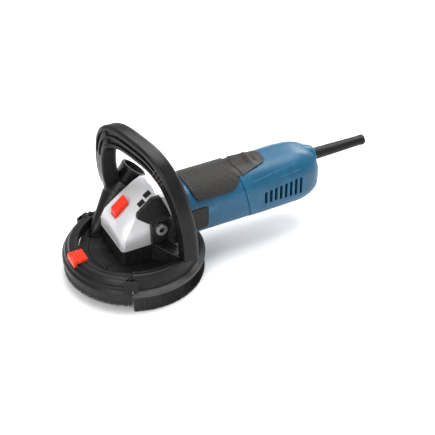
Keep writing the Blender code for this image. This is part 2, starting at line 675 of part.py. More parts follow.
def duct_ring(centre, radius, steps=20):
    """A circle square to the duct's straight upper run."""
    up = Vector((-math.sin(DUCT_RISE), 0.0, math.cos(DUCT_RISE)))
    return [Vector(centre) + up * (radius * math.cos(math.tau * i / steps))
            + Vector((0.0, radius * math.sin(math.tau * i / steps), 0.0)) for i in range(steps)]


def duct_spot(back):
    """A point on the upper run's axis, a distance down from the mouth."""
    return (DUCT_MOUTH[0] - back * math.cos(DUCT_RISE), DUCT_Y, DUCT_MOUTH[2] - back * math.sin(DUCT_RISE))


def foot_ring(shrink, height, steps=20):
    """The duct's foot on the hood: an oval that slants to stay inside the rim."""
    points = []
    for along, across in circle(1.0, steps):
        length = (23.5 - shrink) * along
        width = (10.2 - shrink) * across
        points.append((-18.0 - 0.93 * length, 43.4 + width - 0.22 * length, height))
    return points


def build_duct():
    outer = loft([foot_ring(0.0, HOOD_PLATE + GAP), foot_ring(0.0, 33.0), duct_ring(duct_spot(42.0), 15.5),
                  duct_ring(duct_spot(34.0), DUCT_RADIUS), duct_ring(duct_spot(0.0), DUCT_RADIUS)])
    duct = piece("suction_duct", outer, "black_plastic")
    bore = DUCT_RADIUS - 2.2
    cut(duct, loft([foot_ring(3.0, HOOD_PLATE - 3), foot_ring(3.0, 33.5), duct_ring(duct_spot(40.0), bore),
                    duct_ring(duct_spot(34.0), bore), duct_ring(duct_spot(-6.0), bore)]))


def build_front_segment(pivot, latch_pivot):
    segment = piece("front_segment", arc_solid(front_rim, SEGMENT_ARC, math.tau - SEGMENT_ARC, 24),
                    "black_plastic", pivot)
    cut(segment, box((-81.0, LATCH_NEAR - 0.4, 38.3), (-55.0, LATCH_FAR + 0.4, 50.0)))
    for side in (-1, 1):
        low, high = span(side, 60.3, 64.7)
        cut(segment, box((HINGE_X - 4.8, low, 30.5), (-25.0, high, 50.0)))
        join(segment, hinge_rod(HINGE_LUG_RADIUS - 0.2, 56.6, 60.2, side))
        cut(segment, hinge_rod(1.8, 50.0, 70.0, side, 12))
    piece("front_brush", arc_solid(brush_profile(FRONT_BRUSH_BOTTOM), math.radians(117), math.radians(243), 22),
          "bristle", pivot)
    pad = box((-76.0, LATCH_NEAR, 38.7), (-62.0, LATCH_FAR, 42.4))
    latch = piece("front_latch", pad, "red_plastic", latch_pivot)
    join(latch, box((-78.8, LATCH_NEAR, 35.0), (-75.6, LATCH_FAR, 42.4)))
    for i in range(4):
        x = -74.6 + 3.4 * i
        join(latch, box((x, LATCH_NEAR + 1.0, 41.5), (x + 1.6, LATCH_FAR - 1.0, 43.6)))


# --------------------------------------------------------------- bow handle

def smooth_route(points, per_span):
    """A Catmull-Rom curve through a few chosen points."""
    ends = [2 * points[0] - points[1]] + points + [2 * points[-1] - points[-2]]
    route = []
    for i in range(1, len(ends) - 2):
        a, b, c, d = ends[i - 1:i + 3]
        for step in range(per_span):
            t = step / per_span
            route.append(0.5 * (2 * b + (c - a) * t + (2 * a - 5 * b + 4 * c - d) * t * t
                                + (3 * b - 3 * c + d - a) * t * t * t))
    route.append(points[-1])
    return route


def build_bow():
    stations = smooth_route([Vector((*point, thick)) for point, thick in zip(BOW_ROUTE, BOW_THICKNESSES)], 3)
    route = [station.to_3d() for station in stations]
    sections = []
    for i, centre in enumerate(route):
        along = (route[min(i + 1, len(route) - 1)] - route[max(i - 1, 0)]).normalized()
        depth = Vector((1.0, 0.0, 0.0))
        depth = (depth - along * depth.dot(along)).normalized()
        side = along.cross(depth)
        if i == len(route) - 1:
            depth = Vector((1.0, 0.0, 0.0))
            side = Vector((0.0, math.copysign(1.0, side.y), 0.0))
        ring_points = rounded_square(BOW_DEPTH / 2, stations[i].w / 2, BOW_CORNER, 2)
        sections.append([centre + depth * a + side * b for a, b in ring_points])
    bow = piece("bow_handle", loft(sections), "black_plastic")
    band = loft([duct_ring(duct_spot(back), 18.6, 24) for back in (19.0, 36.0)])
    join(bow, band)
    cut(bow, loft([duct_ring(duct_spot(back), DUCT_RADIUS + GAP, 24) for back in (-10.0, 60.0)]))


def bracket_face(height):
    """The brackets stand on the head's side and lean in along its chamfer."""
    return 31.4 - max(0.0, height - 84.0) * 0.40


def build_bracket(name, side, thickness, levels):
    """A plate from rows of (height, front edge, rear edge)."""
    sections = []
    for height, front, rear in levels:
        inner = side * bracket_face(height)
        outer = side * (bracket_face(height) + thickness)
        sections.append([(front, inner, height), (rear, inner, height), (rear, outer, height),
                         (front, outer, height)])
    bracket = piece(name, loft(sections), "black_plastic")
    cut(bracket, prism(circle(4.3, 14, (BOLT_X, BOLT_HEIGHT)), side * 25.0, side * 45.0, "Y"))
    return bracket


def build_brackets():
    near = build_bracket("near_bracket", -1, 5.0, (
        (52.5, 4.0, 27.0), (80.0, 4.0, 27.0), (84.0, -1.5, 27.0), (91.0, -11.0, 25.0), (95.0, -9.5, 23.5),
        (106.0, 10.0, 19.0)))
    web = [(21.5, -35.0), (27.0, -35.0), (32.5, -44.6), (26.5, -44.6)]
    join(near, prism(web, 52.8, 84.0))
    build_bracket("far_bracket", 1, 3.5, ((52.5, 4.0, 22.0), (84.0, 4.0, 22.0)))
    for name, side in (("near_bolt", -1), ("far_bolt", 1)):
        head, start = (6.0, 36.7) if side < 0 else (1.5, 35.2)
        outline = [(6.6, start + head), (6.6, start), (3.9, start), (3.9, 23.5)]
        bolt = spun_solid(outline, "Z", (0.0, 0.0), 18)
        bmesh.ops.rotate(bolt, matrix=Matrix.Rotation(-side * math.pi / 2, 3, "X"), verts=bolt.verts)
        bmesh.ops.translate(bolt, vec=(BOLT_X, 0.0, BOLT_HEIGHT), verts=bolt.verts)
        fixing = piece(name, bolt, "dark_steel")
        if side < 0:
            cut(fixing, prism(circle(3.0, 6, (BOLT_X, BOLT_HEIGHT)), -50.0, -38.5, "Y"))


def main():
    clear_scene()
    spindle_axis = axis_empty("spindle_axis", (0.0, 0.0, SPINDLE_END))
    armature_axis = axis_empty("armature_axis", (0.0, 0.0, MOTOR_AXIS))
    hinge_axis = axis_empty("front_hinge_axis", (HINGE_X, 0.0, HINGE_HEIGHT))
    latch_axis = axis_empty("latch_axis", (-70.0, -4.0, 40.0))
    button_axis = axis_empty("button_axis", (-14.5, 0.0, 76.0))
    switch_axis = axis_empty("switch_axis", (137.0, 0.0, 98.0))
    build_gear_head()
    build_spindle_group(spindle_axis)
    build_armature_group(armature_axis)
    build_motor()
    build_casing()
    build_switch(switch_axis)
    build_lock_button(button_axis)
    build_hood()
    build_duct()
    build_front_segment(hinge_axis, latch_axis)
    build_bow()
    build_brackets()


main()
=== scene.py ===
# %% [markdown]
# # A concrete grinder with a dust hood
# The real tool is an angle grinder whose cup wheel levels concrete. A hood with
# a brush ring catches the dust, a duct at the far side carries it away, and a
# bow handle arches over the gear head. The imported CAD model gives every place
# and size. This lesson gives each piece its final shape and its finish, and it
# starts by loading that model, which is never moved.

# %% Load the frame
import json
import math
import random

import bmesh
import bpy
from mathutils import Matrix, Vector

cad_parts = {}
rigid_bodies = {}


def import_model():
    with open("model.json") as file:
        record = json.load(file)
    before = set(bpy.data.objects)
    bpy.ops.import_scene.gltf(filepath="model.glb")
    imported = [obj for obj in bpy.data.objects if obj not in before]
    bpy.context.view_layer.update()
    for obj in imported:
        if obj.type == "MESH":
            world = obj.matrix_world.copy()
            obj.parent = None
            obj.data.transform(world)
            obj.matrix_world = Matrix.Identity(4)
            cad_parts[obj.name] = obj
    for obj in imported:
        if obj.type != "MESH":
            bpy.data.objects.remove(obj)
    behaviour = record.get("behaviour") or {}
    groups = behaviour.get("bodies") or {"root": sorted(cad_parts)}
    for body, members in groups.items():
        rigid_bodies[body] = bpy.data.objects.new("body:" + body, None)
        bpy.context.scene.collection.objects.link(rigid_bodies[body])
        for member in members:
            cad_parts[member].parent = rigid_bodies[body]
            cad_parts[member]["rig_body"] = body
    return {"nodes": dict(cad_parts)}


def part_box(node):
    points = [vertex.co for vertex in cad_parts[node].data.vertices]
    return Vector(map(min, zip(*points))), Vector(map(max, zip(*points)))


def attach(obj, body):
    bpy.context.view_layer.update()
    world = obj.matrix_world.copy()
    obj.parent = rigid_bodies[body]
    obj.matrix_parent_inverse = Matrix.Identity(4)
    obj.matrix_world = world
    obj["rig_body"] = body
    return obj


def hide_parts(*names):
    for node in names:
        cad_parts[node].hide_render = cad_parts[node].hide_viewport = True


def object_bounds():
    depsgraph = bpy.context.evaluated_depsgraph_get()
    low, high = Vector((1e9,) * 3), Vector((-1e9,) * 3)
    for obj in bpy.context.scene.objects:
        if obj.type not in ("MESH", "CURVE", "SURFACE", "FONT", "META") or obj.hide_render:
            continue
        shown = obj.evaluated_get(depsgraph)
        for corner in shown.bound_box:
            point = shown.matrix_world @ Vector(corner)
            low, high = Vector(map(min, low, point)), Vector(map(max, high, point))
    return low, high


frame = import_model()
cad_low, cad_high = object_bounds()
MM = 0.001
FLOOR = cad_low.z
print("CAD box in mm:", [round((b - a) / MM, 1) for a, b in zip(cad_low, cad_high)])

# %% [markdown]
# ## Camera, floor and light
# A catalogue picture of a power tool is taken with a long lens, so that the
# tool isn't stretched. The camera is placed by its compass direction, its
# height above the horizon and its distance from a point near the middle of
# the tool, which is easier to think about than three coordinates.

# %% Camera
CAMERA_AZIMUTH = math.radians(-27.2)
CAMERA_RISE = math.radians(37.4)
CAMERA_DISTANCE = 1.5
CAMERA_TARGET = Vector((0.1011, 0.0, FLOOR + 0.0315))
camera_data = bpy.data.cameras.new("long_lens")
camera_data.lens = 109.8
camera_data.sensor_width = 36.0
camera = bpy.data.objects.new("camera", camera_data)
bpy.context.scene.collection.objects.link(camera)
away = Vector((math.sin(CAMERA_AZIMUTH) * math.cos(CAMERA_RISE),
               -math.cos(CAMERA_AZIMUTH) * math.cos(CAMERA_RISE), math.sin(CAMERA_RISE)))
camera.location = CAMERA_TARGET + away * CAMERA_DISTANCE
camera.rotation_euler = away.to_track_quat("Z", "Y").to_euler()
bpy.context.scene.camera = camera
print("camera at", [round(value, 3) for value in camera.location])

# %% [markdown]
# The floor is one pale sheet. Three large soft lamps stand round the tool: a
# wide one overhead draws the long highlights on the shell and the bow, one at
# the front left fills the dark plastic, and one at the rear right lights the
# edges. A bright sky fills what is left. The Standard view keeps the pure
# orange and blue of the plastics, which a film-like view would wash out.

# %% Floor and lamps
FLOOR_SIZE = 6.0
LAMPS = {
    "overhead": ((0.35, 0.25, 1.5), 1.3, 30.0),
    "front_left": ((-1.2, -0.9, 0.8), 0.9, 13.0),
    "rear_right": ((1.3, 0.9, 0.9), 0.8, 14.0),
}


def plain_material(name, colour, roughness):
    material = bpy.data.materials.new(name)
    material.use_nodes = True
    shader = material.node_tree.nodes["Principled BSDF"]
    shader.inputs["Base Color"].default_value = (*colour, 1.0)
    shader.inputs["Roughness"].default_value = roughness
    return material


def soft_lamp(name, place, size, power):
    data = bpy.data.lights.new(name, "AREA")
    data.shape = "DISK"
    data.size = size
    data.energy = power
    lamp = bpy.data.objects.new(name, data)
    lamp.location = place
    aim = Vector(place) - Vector((0.08, 0.0, 0.03))
    lamp.rotation_euler = aim.to_track_quat("Z", "Y").to_euler()
    bpy.context.scene.collection.objects.link(lamp)
    return lamp


floor_bm = bmesh.new()
bmesh.ops.create_grid(floor_bm, x_segments=1, y_segments=1, size=FLOOR_SIZE / 2)
bmesh.ops.translate(floor_bm, vec=(0.0, 0.0, FLOOR), verts=floor_bm.verts)
floor_mesh = bpy.data.meshes.new("floor")
floor_bm.to_mesh(floor_mesh)
floor_bm.free()
floor_mesh.materials.append(plain_material("pale_floor", (0.92, 0.92, 0.92), 0.85))
floor = bpy.data.objects.new("floor", floor_mesh)
bpy.context.scene.collection.objects.link(floor)
[soft_lamp(name, *facts) for name, facts in LAMPS.items()]
world = bpy.data.worlds.new("studio")
world.use_nodes = True
world.node_tree.nodes["Background"].inputs["Color"].default_value = (1.0, 1.0, 1.0, 1.0)
world.node_tree.nodes["Background"].inputs["Strength"].default_value = 0.75
bpy.context.scene.world = world
bpy.context.scene.view_settings.view_transform = "Standard"
print("lamps:", len(LAMPS))

# %% [markdown]
# ## Shared effects
# Real finishes share the same few effects: fine grain from the mould, wear on
# raised edges, settled dust, cell-like texture on rubber and turning marks on
# steel. Each one is a node group with named inputs, built once and placed in
# every material with its own values. A group gives only masks, colours and
# heights; the shader stays in the material.

# %% Node helpers
def new_group(name, inputs, outputs):
    group = bpy.data.node_groups.new(name, "ShaderNodeTree")
    for label, value in inputs.items():
        socket = group.interface.new_socket(label, in_out="INPUT", socket_type="NodeSocketFloat")
        socket.default_value = value
    for label in outputs:
        group.interface.new_socket(label, in_out="OUTPUT", socket_type="NodeSocketFloat")
    return group, group.nodes.new("NodeGroupInput"), group.nodes.new("NodeGroupOutput")


def maths(tree, operation, first, second, clamp=False):
    """A Math node; each side is a number or another node's socket."""
    node = tree.nodes.new("ShaderNodeMath")
    node.operation = operation
    node.use_clamp = clamp
    for socket, value in zip(node.inputs, (first, second)):
        if isinstance(value, bpy.types.NodeSocket):
            tree.links.new(value, socket)
        else:
            socket.default_value = value
    return node.outputs[0]


def rescaled(tree, value, from_low, from_high, to_low=0.0, to_high=1.0):
    node = tree.nodes.new("ShaderNodeMapRange")
    tree.links.new(value, node.inputs["Value"])
    for label, number in (("From Min", from_low), ("From Max", from_high),
                          ("To Min", to_low), ("To Max", to_high)):
        if isinstance(number, bpy.types.NodeSocket):
            tree.links.new(number, node.inputs[label])
        else:
            node.inputs[label].default_value = number
    return node.outputs["Result"]


def noise(tree, size_mm, detail=2.0, roughness=0.5):
    """Noise in object space; its size is the width of a blot in millimetres."""
    place = tree.nodes.new("ShaderNodeTexCoord")
    node = tree.nodes.new("ShaderNodeTexNoise")
    node.inputs["Detail"].default_value = detail
    node.inputs["Roughness"].default_value = roughness
    tree.links.new(place.outputs["Object"], node.inputs["Vector"])
    if isinstance(size_mm, bpy.types.NodeSocket):
        tree.links.new(maths(tree, "DIVIDE", 1 / MM, size_mm), node.inputs["Scale"])
    else:
        node.inputs["Scale"].default_value = 1 / MM / size_mm
    return node.outputs["Fac"]


# %% [markdown]
# The grain is two sizes of noise added together, because a spark-eroded mould
# leaves fine grit on slow waves.

# %% Mould grain
grain, grain_in, grain_out = new_group("mould_grain", {"Size": 0.8, "Waves": 14.0}, ["Height", "Tone"])
fine = noise(grain, grain_in.outputs["Size"], 3.0, 0.6)
slow = noise(grain, grain_in.outputs["Waves"], 2.0)
grain_sum = maths(grain, "ADD", maths(grain, "MULTIPLY", fine, 0.7), maths(grain, "MULTIPLY", slow, 0.3))
grain.links.new(grain_sum, grain_out.inputs["Height"])
grain.links.new(rescaled(grain, slow, 0.35, 0.65), grain_out.inputs["Tone"])

# %% [markdown]
# Wear needs to know where the edges are. The Pointiness of the Geometry node is
# above one half on convex places, and noise breaks the line so that the rub
# marks don't look printed.

# %% Edge wear
wear, wear_in, wear_out = new_group("edge_wear", {"Start": 0.53, "Blots": 3.0}, ["Mask"])
shape_node = wear.nodes.new("ShaderNodeNewGeometry")
edge = rescaled(wear, shape_node.outputs["Pointiness"], wear_in.outputs["Start"],
                maths(wear, "ADD", wear_in.outputs["Start"], 0.06))
broken = rescaled(wear, noise(wear, wear_in.outputs["Blots"], 4.0, 0.6), 0.42, 0.62)
wear.links.new(maths(wear, "MULTIPLY", edge, broken, clamp=True), wear_out.inputs["Mask"])

# %% [markdown]
# Dust settles on what faces up. The normal's upward part, multiplied by soft
# noise, gives a thin uneven film.

# %% Settled dust
dust, dust_in, dust_out = new_group("settled_dust", {"Amount": 0.3, "Blots": 22.0}, ["Mask"])
facing_node = dust.nodes.new("ShaderNodeNewGeometry")
parts_node = dust.nodes.new("ShaderNodeSeparateXYZ")
dust.links.new(facing_node.outputs["Normal"], parts_node.inputs["Vector"])
facing_up = rescaled(dust, parts_node.outputs["Z"], 0.35, 1.0)
film = rescaled(dust, noise(dust, dust_in.outputs["Blots"], 5.0, 0.65), 0.38, 0.72)
dust_mask = maths(dust, "MULTIPLY", maths(dust, "MULTIPLY", facing_up, film), dust_in.outputs["Amount"],
                  clamp=True)
dust.links.new(dust_mask, dust_out.inputs["Mask"])

# %% [markdown]
# The soft grip has a leather-like skin: small cells with sunken seams. Voronoi
# distance to the edge draws those seams, and the cell size is an input. A second
# output darkens the seams by their depth: painted shade in the grooves.

# %% Leather cells
cells, cells_in, cells_out = new_group("leather_cells", {"Size": 1.3}, ["Height", "Seam"])
cells_place = cells.nodes.new("ShaderNodeTexCoord")
cells_map = cells.nodes.new("ShaderNodeTexVoronoi")
cells_map.feature = "DISTANCE_TO_EDGE"
cells.links.new(cells_place.outputs["Object"], cells_map.inputs["Vector"])
cells.links.new(maths(cells, "DIVIDE", 1 / MM, cells_in.outputs["Size"]), cells_map.inputs["Scale"])
cells_height = rescaled(cells, cells_map.outputs["Distance"], 0.0, 0.28)
cells.links.new(cells_height, cells_out.inputs["Height"])
# Deeper seams get a darker mask: painted shade in the grooves.
cells.links.new(maths(cells, "SUBTRACT", 1.0, cells_height, clamp=True), cells_out.inputs["Seam"])

# %% [markdown]
# Turned steel shows rings round its axis. The wheel, nut and spindle turn
# about the frame's Z axis, so a ring-shaped Wave texture follows the tool marks.

# %% Turning marks
turning, turning_in, turning_out = new_group("turning_marks", {"Spacing": 0.9}, ["Height"])
turning_place = turning.nodes.new("ShaderNodeTexCoord")
turning_wave = turning.nodes.new("ShaderNodeTexWave")
turning_wave.wave_type = "RINGS"
turning_wave.rings_direction = "Z"
turning_wave.inputs["Distortion"].default_value = 0.6
turning_wave.inputs["Detail"].default_value = 2.0
turning.links.new(turning_place.outputs["Object"], turning_wave.inputs["Vector"])
turning_scale = maths(turning, "DIVIDE", 0.3 / MM, turning_in.outputs["Spacing"])
turning.links.new(turning_scale, turning_wave.inputs["Scale"])
turning.links.new(turning_wave.outputs["Fac"], turning_out.inputs["Height"])
print("node groups:", [group.name for group in bpy.data.node_groups])

# %% [markdown]
# ## One recipe for moulded and cast finishes
# Every material starts with a base colour that drifts a little, adds wear and
# dust through masks, and gets its roughness and bump from the grain. The
# recipe is one function, and each finish calls it with its own values: what
# differs between satin nylon, soft rubber and cast metal is mostly these numbers.

# %% Material recipe
DUST_COLOUR = (0.34, 0.33, 0.31)
ROUGHNESS_DRIFT = 0.08


def mixed(tree, mask, colour, other):
    node = tree.nodes.new("ShaderNodeMix")
    node.data_type = "RGBA"
    tree.links.new(mask, node.inputs["Factor"])
    for label, value in (("A", colour), ("B", other)):
        socket = [s for s in node.inputs if s.name == label and s.type == "RGBA"][0]
        if isinstance(value, bpy.types.NodeSocket):
            tree.links.new(value, socket)
        else:
            socket.default_value = (*value, 1.0)
    return [s for s in node.outputs if s.type == "RGBA"][0]


def placed(tree, group, **values):
    node = tree.nodes.new("ShaderNodeGroup")
    node.node_tree = group
    for label, value in values.items():
        node.inputs[label].default_value = value
    return node


def finish(name, colour, drift, roughness, metallic=0.0, grain_size=0.8, bump=0.05, wear_colour=None,
           dust_amount=0.0, texture=None, texture_size=None, specular=0.5):
    """A procedural material: base and drift colours, wear, dust, grain and one extra texture."""
    material = bpy.data.materials.new(name)
    material.use_nodes = True
    tree = material.node_tree
    shader = tree.nodes["Principled BSDF"]
    shader.inputs["Specular IOR Level"].default_value = specular
    grain_node = placed(tree, grain, Size=grain_size, Waves=14.0)
    tint = mixed(tree, grain_node.outputs["Tone"], colour, drift)
    height = grain_node.outputs["Height"]
    if texture is not None:
        texture_node = placed(tree, texture, **texture_size)
        height = maths(tree, "ADD", maths(tree, "MULTIPLY", height, 0.35), texture_node.outputs["Height"])
        # A texture's seam output darkens the base colour in its sunken seams: painted shade.
        if "Seam" in texture_node.outputs:
            tint = mixed(tree, texture_node.outputs["Seam"], tint, [part * 0.55 for part in colour])
    if wear_colour is not None:
        wear_node = placed(tree, wear, Start=0.53, Blots=3.0)
        tint = mixed(tree, wear_node.outputs["Mask"], tint, wear_colour)
    if dust_amount:
        dust_node = placed(tree, dust, Amount=dust_amount, Blots=22.0)
        tint = mixed(tree, dust_node.outputs["Mask"], tint, DUST_COLOUR)
    tree.links.new(tint, shader.inputs["Base Color"])
    rough = rescaled(tree, grain_node.outputs["Height"], 0.3, 0.7, roughness - ROUGHNESS_DRIFT,
                     roughness + ROUGHNESS_DRIFT)
    tree.links.new(rough, shader.inputs["Roughness"])
    shader.inputs["Metallic"].default_value = metallic
    bump_node = tree.nodes.new("ShaderNodeBump")
    bump_node.inputs["Strength"].default_value = 1.0
    bump_node.inputs["Distance"].default_value = bump * MM
    tree.links.new(height, bump_node.inputs["Height"])
    tree.links.new(bump_node.outputs["Normal"], shader.inputs["Normal"])
    return material


# %% [markdown]
# The blue shell and the black fittings are glass-filled nylon: satin, with fine
# mould grain and paler rubbed edges. The grip is over-moulded rubber with
# leather cells. The gear head is die-cast and painted silver. The wheel, nut
# and bearings are bare turned steel; the motor inside has copper and carbon.

# %% The finishes
FINISH = {
    "blue_plastic": finish("blue_nylon", (0.005, 0.066, 0.132), (0.007, 0.082, 0.160), 0.36, grain_size=0.5,
                           bump=0.03, wear_colour=(0.02, 0.13, 0.24), specular=0.30),
    "black_plastic": finish("black_nylon", (0.004, 0.004, 0.0042), (0.008, 0.008, 0.0085), 0.34,
                            grain_size=0.6, bump=0.05, wear_colour=(0.022, 0.022, 0.023),
                            dust_amount=0.012, specular=0.20),
    "soft_grip": finish("grip_rubber", (0.018, 0.0165, 0.015), (0.026, 0.024, 0.022), 0.60, grain_size=0.4,
                        bump=0.42, texture=cells, texture_size={"Size": 1.9}, specular=0.35),
    "red_plastic": finish("signal_red", (0.60, 0.014, 0.003), (0.68, 0.022, 0.005), 0.40, grain_size=0.5,
                          bump=0.02, wear_colour=(0.74, 0.060, 0.020), specular=0.25),
    "cast_aluminium": finish("silver_casting", (0.50, 0.50, 0.512), (0.54, 0.54, 0.552), 0.42, metallic=0.35,
                             grain_size=0.5, bump=0.04, wear_colour=(0.60, 0.60, 0.612)),
    "bright_steel": finish("turned_steel", (0.58, 0.58, 0.60), (0.66, 0.66, 0.68), 0.30, metallic=1.0,
                           grain_size=0.4, bump=0.03, texture=turning, texture_size={"Spacing": 0.9}),
    "dark_steel": finish("blackened_steel", (0.10, 0.10, 0.105), (0.15, 0.15, 0.155), 0.40, metallic=0.9,
                         grain_size=0.4, bump=0.04, wear_colour=(0.42, 0.42, 0.43)),
    "copper": finish("winding_copper", (0.62, 0.24, 0.10), (0.78, 0.36, 0.18), 0.34, metallic=1.0,
                     grain_size=0.5, bump=0.08),
    "carbon": finish("brush_carbon", (0.030, 0.030, 0.032), (0.050, 0.050, 0.052), 0.60, grain_size=0.3,
                     bump=0.05),
    "bristle": finish("nylon_bristle", (0.004, 0.004, 0.004), (0.010, 0.0095, 0.009), 0.55, grain_size=0.6,
                      bump=0.05),
    "rubber": finish("sleeve_rubber", (0.004, 0.004, 0.004), (0.007, 0.007, 0.007), 0.42, grain_size=0.5,
                     bump=0.05, dust_amount=0.010, specular=0.22),
    # The lip strip's finish is a painted highlight: its paler black stands in for the soft light on the lip's
    # sloped flat. It also carries a little more dust than the other black parts.
    "lip_painted_highlight": finish("lip_rubber_painted_highlight", (0.030, 0.030, 0.030), (0.046, 0.046, 0.046), 0.55, grain_size=0.6,
                       bump=0.05, dust_amount=0.05, specular=0.35),
    "diamond_grit": finish("sintered_grit", (0.30, 0.26, 0.17), (0.52, 0.47, 0.33), 0.72, metallic=0.2,
                           grain_size=0.7, bump=0.30, dust_amount=0.2),
}
print("materials:", len(FINISH))

# %% [markdown]
# ## Making and placing pieces
# Pieces are modelled in millimetres above the floor, as on a drawing. One
# helper turns such a mesh into an object: it merges doubles, points the faces
# outwards and brings the mesh to metres in the frame. A second gives it its
# finish and lets it ride on its CAD body. Small moulded edges come from a live
# Bevel modifier, because real plastic and castings have no knife edges.

# %% Piece helpers
def as_object(name, bm, outwards=True):
    bmesh.ops.remove_doubles(bm, verts=bm.verts, dist=0.005)
    if outwards:
        bmesh.ops.recalc_face_normals(bm, faces=bm.faces)
    bmesh.ops.scale(bm, vec=(MM, MM, MM), verts=bm.verts)
    bmesh.ops.translate(bm, vec=(0.0, 0.0, FLOOR), verts=bm.verts)
    mesh = bpy.data.meshes.new(name)
    bm.to_mesh(mesh)
    bm.free()
    mesh.shade_smooth()
    piece = bpy.data.objects.new(name, mesh)
    bpy.context.scene.collection.objects.link(piece)
    return piece


SHARP_ENOUGH = math.radians(32.0)


def soften(piece, width, segments):
    """Rounds the edges that are sharp enough."""
    step = piece.modifiers.new("moulded_edges", "BEVEL")
    step.width = width * MM
    step.segments = segments
    step.limit_method = "ANGLE"
    step.angle_limit = SHARP_ENOUGH
    step.harden_normals = True


def settle(piece, kind, body="grinder", stands_for=(), edge=0.0, segments=2, sharp=35.0):
    piece.data.materials.clear()
    piece.data.materials.append(FINISH[kind])
    if edge:
        soften(piece, edge, segments)
    else:
        piece.data.set_sharp_from_angle(angle=math.radians(sharp))
    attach(piece, body)
    if stands_for:
        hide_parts(*stands_for)
    return piece


def carve(piece, *cutters):
    """Cuts shapes out of a piece and keeps only the result."""
    tools = [as_object("cutter_%d" % i, bm) for i, bm in enumerate(cutters)]
    for tool in tools:
        step = piece.modifiers.new("carve", "BOOLEAN")
        step.operation = "DIFFERENCE"
        step.solver = "EXACT"
        step.object = tool
    graph = bpy.context.evaluated_depsgraph_get()
    result = bpy.data.meshes.new_from_object(piece.evaluated_get(graph))
    piece.modifiers.clear()
    piece.data = result
    result.shade_smooth()
    for tool in tools:
        bpy.data.objects.remove(tool)
    return piece


# %% [markdown]
# Four ways of shaping cover nearly every piece here: an outline extruded
# straight, an outline spun round an axis, an outline extruded step by step
# along a route, and rings of points bridged together. All of them start from
# a few vertices and leave the faces to Blender's operators.

# %% Shape helpers
def box_mm(node):
    """A node's box in millimetres above the floor, as its low and high corners."""
    return [(corner - Vector((0.0, 0.0, FLOOR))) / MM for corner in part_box(node)]


def outline_ring(bm, points):
    verts = [bm.verts.new(point) for point in points]
    edges = [bm.edges.new(pair) for pair in zip(verts, verts[1:] + verts[:1])]
    return verts, edges


def close_ends(bm):
    bmesh.ops.holes_fill(bm, edges=[edge for edge in bm.edges if edge.is_boundary], sides=0)
    return bm


def block(outline, offset):
    """An outline of 3-D points, extruded by an offset."""
    bm = bmesh.new()
    verts, _ = outline_ring(bm, outline)
    face = bm.faces.new(verts)
    grown = bmesh.ops.extrude_face_region(bm, geom=[face])
    moved = [part for part in grown["geom"] if isinstance(part, bmesh.types.BMVert)]
    bmesh.ops.translate(bm, vec=offset, verts=moved)
    bmesh.ops.recalc_face_normals(bm, faces=bm.faces)
    return bm


def spun(outline, centre, axis="Z", start=0.0, sweep=math.tau, steps=96):
    """A closed (radius, height) outline spun round an axis through a centre."""
    bm = bmesh.new()
    full = abs(sweep - math.tau) < 1e-6
    verts, edges = outline_ring(bm, [(radius, 0.0, height) for radius, height in outline])
    bmesh.ops.rotate(bm, cent=(0, 0, 0), matrix=Matrix.Rotation(start, 3, "Z"), verts=verts)
    bmesh.ops.spin(bm, geom=verts + edges, cent=(0, 0, 0), axis=(0, 0, 1), dvec=(0, 0, 0), angle=sweep,
                   steps=steps, use_merge=full, use_normal_flip=False, use_duplicate=False)
    if not full:
        close_ends(bm)
    if axis == "X":
        bmesh.ops.rotate(bm, cent=(0, 0, 0), matrix=Matrix.Rotation(math.pi / 2, 3, "Y"), verts=bm.verts)
    elif axis == "Y":
        bmesh.ops.rotate(bm, cent=(0, 0, 0), matrix=Matrix.Rotation(math.pi / 2, 3, "X"), verts=bm.verts)
    bmesh.ops.translate(bm, vec=centre, verts=bm.verts)
    return bm


def swept(outline, places):
    """Extrudes a closed outline of (Y, Z) points through a list of matrices."""
    bm = bmesh.new()
    verts, edges = outline_ring(bm, [(0.0, a, b) for a, b in outline])
    bmesh.ops.transform(bm, matrix=places[0], verts=verts)
    rings = [verts]
    for last, place in zip(places, places[1:]):
        grown = bmesh.ops.extrude_edge_only(bm, edges=edges)["geom"]
        verts = [part for part in grown if isinstance(part, bmesh.types.BMVert)]
        edges = [part for part in grown if isinstance(part, bmesh.types.BMEdge)
                 and all(vert in verts for vert in part.verts)]
        bmesh.ops.transform(bm, matrix=place @ last.inverted(), verts=verts)
        rings.append(verts)
    close_ends(bm)
    return bm, rings


def bridged(loops, closed=False):
    """Skins rings of points one to the next, and closes the ends or joins the last ring to the first."""
    bm = bmesh.new()
    edges = [outline_ring(bm, loop)[1] for loop in loops]
    for one, two in zip(edges, edges[1:] + (edges[:1] if closed else [])):
        bmesh.ops.bridge_loops(bm, edges=one + two)
    return bm if closed else close_ends(bm)


def cuboid(size, matrix, bm=None):
    """A box of a size, placed by a matrix, in a new mesh or in one already begun."""
    bm = bm or bmesh.new()
    made = bmesh.ops.create_cube(bm, size=1.0)["verts"]
    bmesh.ops.scale(bm, vec=size, verts=made)
    bmesh.ops.transform(bm, matrix=matrix, verts=made)
    return bm


def rounded(half_width, half_height, corner, steps):
    """A rectangle with rounded corners, as points round the middle."""
    bm = bmesh.new()
    for across, up in ((1, 1), (-1, 1), (-1, -1), (1, -1)):
        bm.verts.new((across * half_width, up * half_height, 0.0))
    bmesh.ops.bevel(bm, geom=[bm.faces.new(bm.verts)] + list(bm.verts), affect="VERTICES", offset=corner,
                    segments=steps, profile=0.5, material=-1)
    bm.faces.ensure_lookup_table()
    points = [(vert.co.x, vert.co.y) for vert in bm.faces[0].verts]
    bm.free()
    return points


print("points in a rounded outline:", len(rounded(31.0, 32.0, 24.0, 12)))

# %% [markdown]
# Some CAD nodes already have the right form and only lack softened edges. For
# those, the CAD mesh is copied, its loose triangles are merged into flat faces
# and the Bevel modifier rounds the edges. The CAD node itself is never touched.

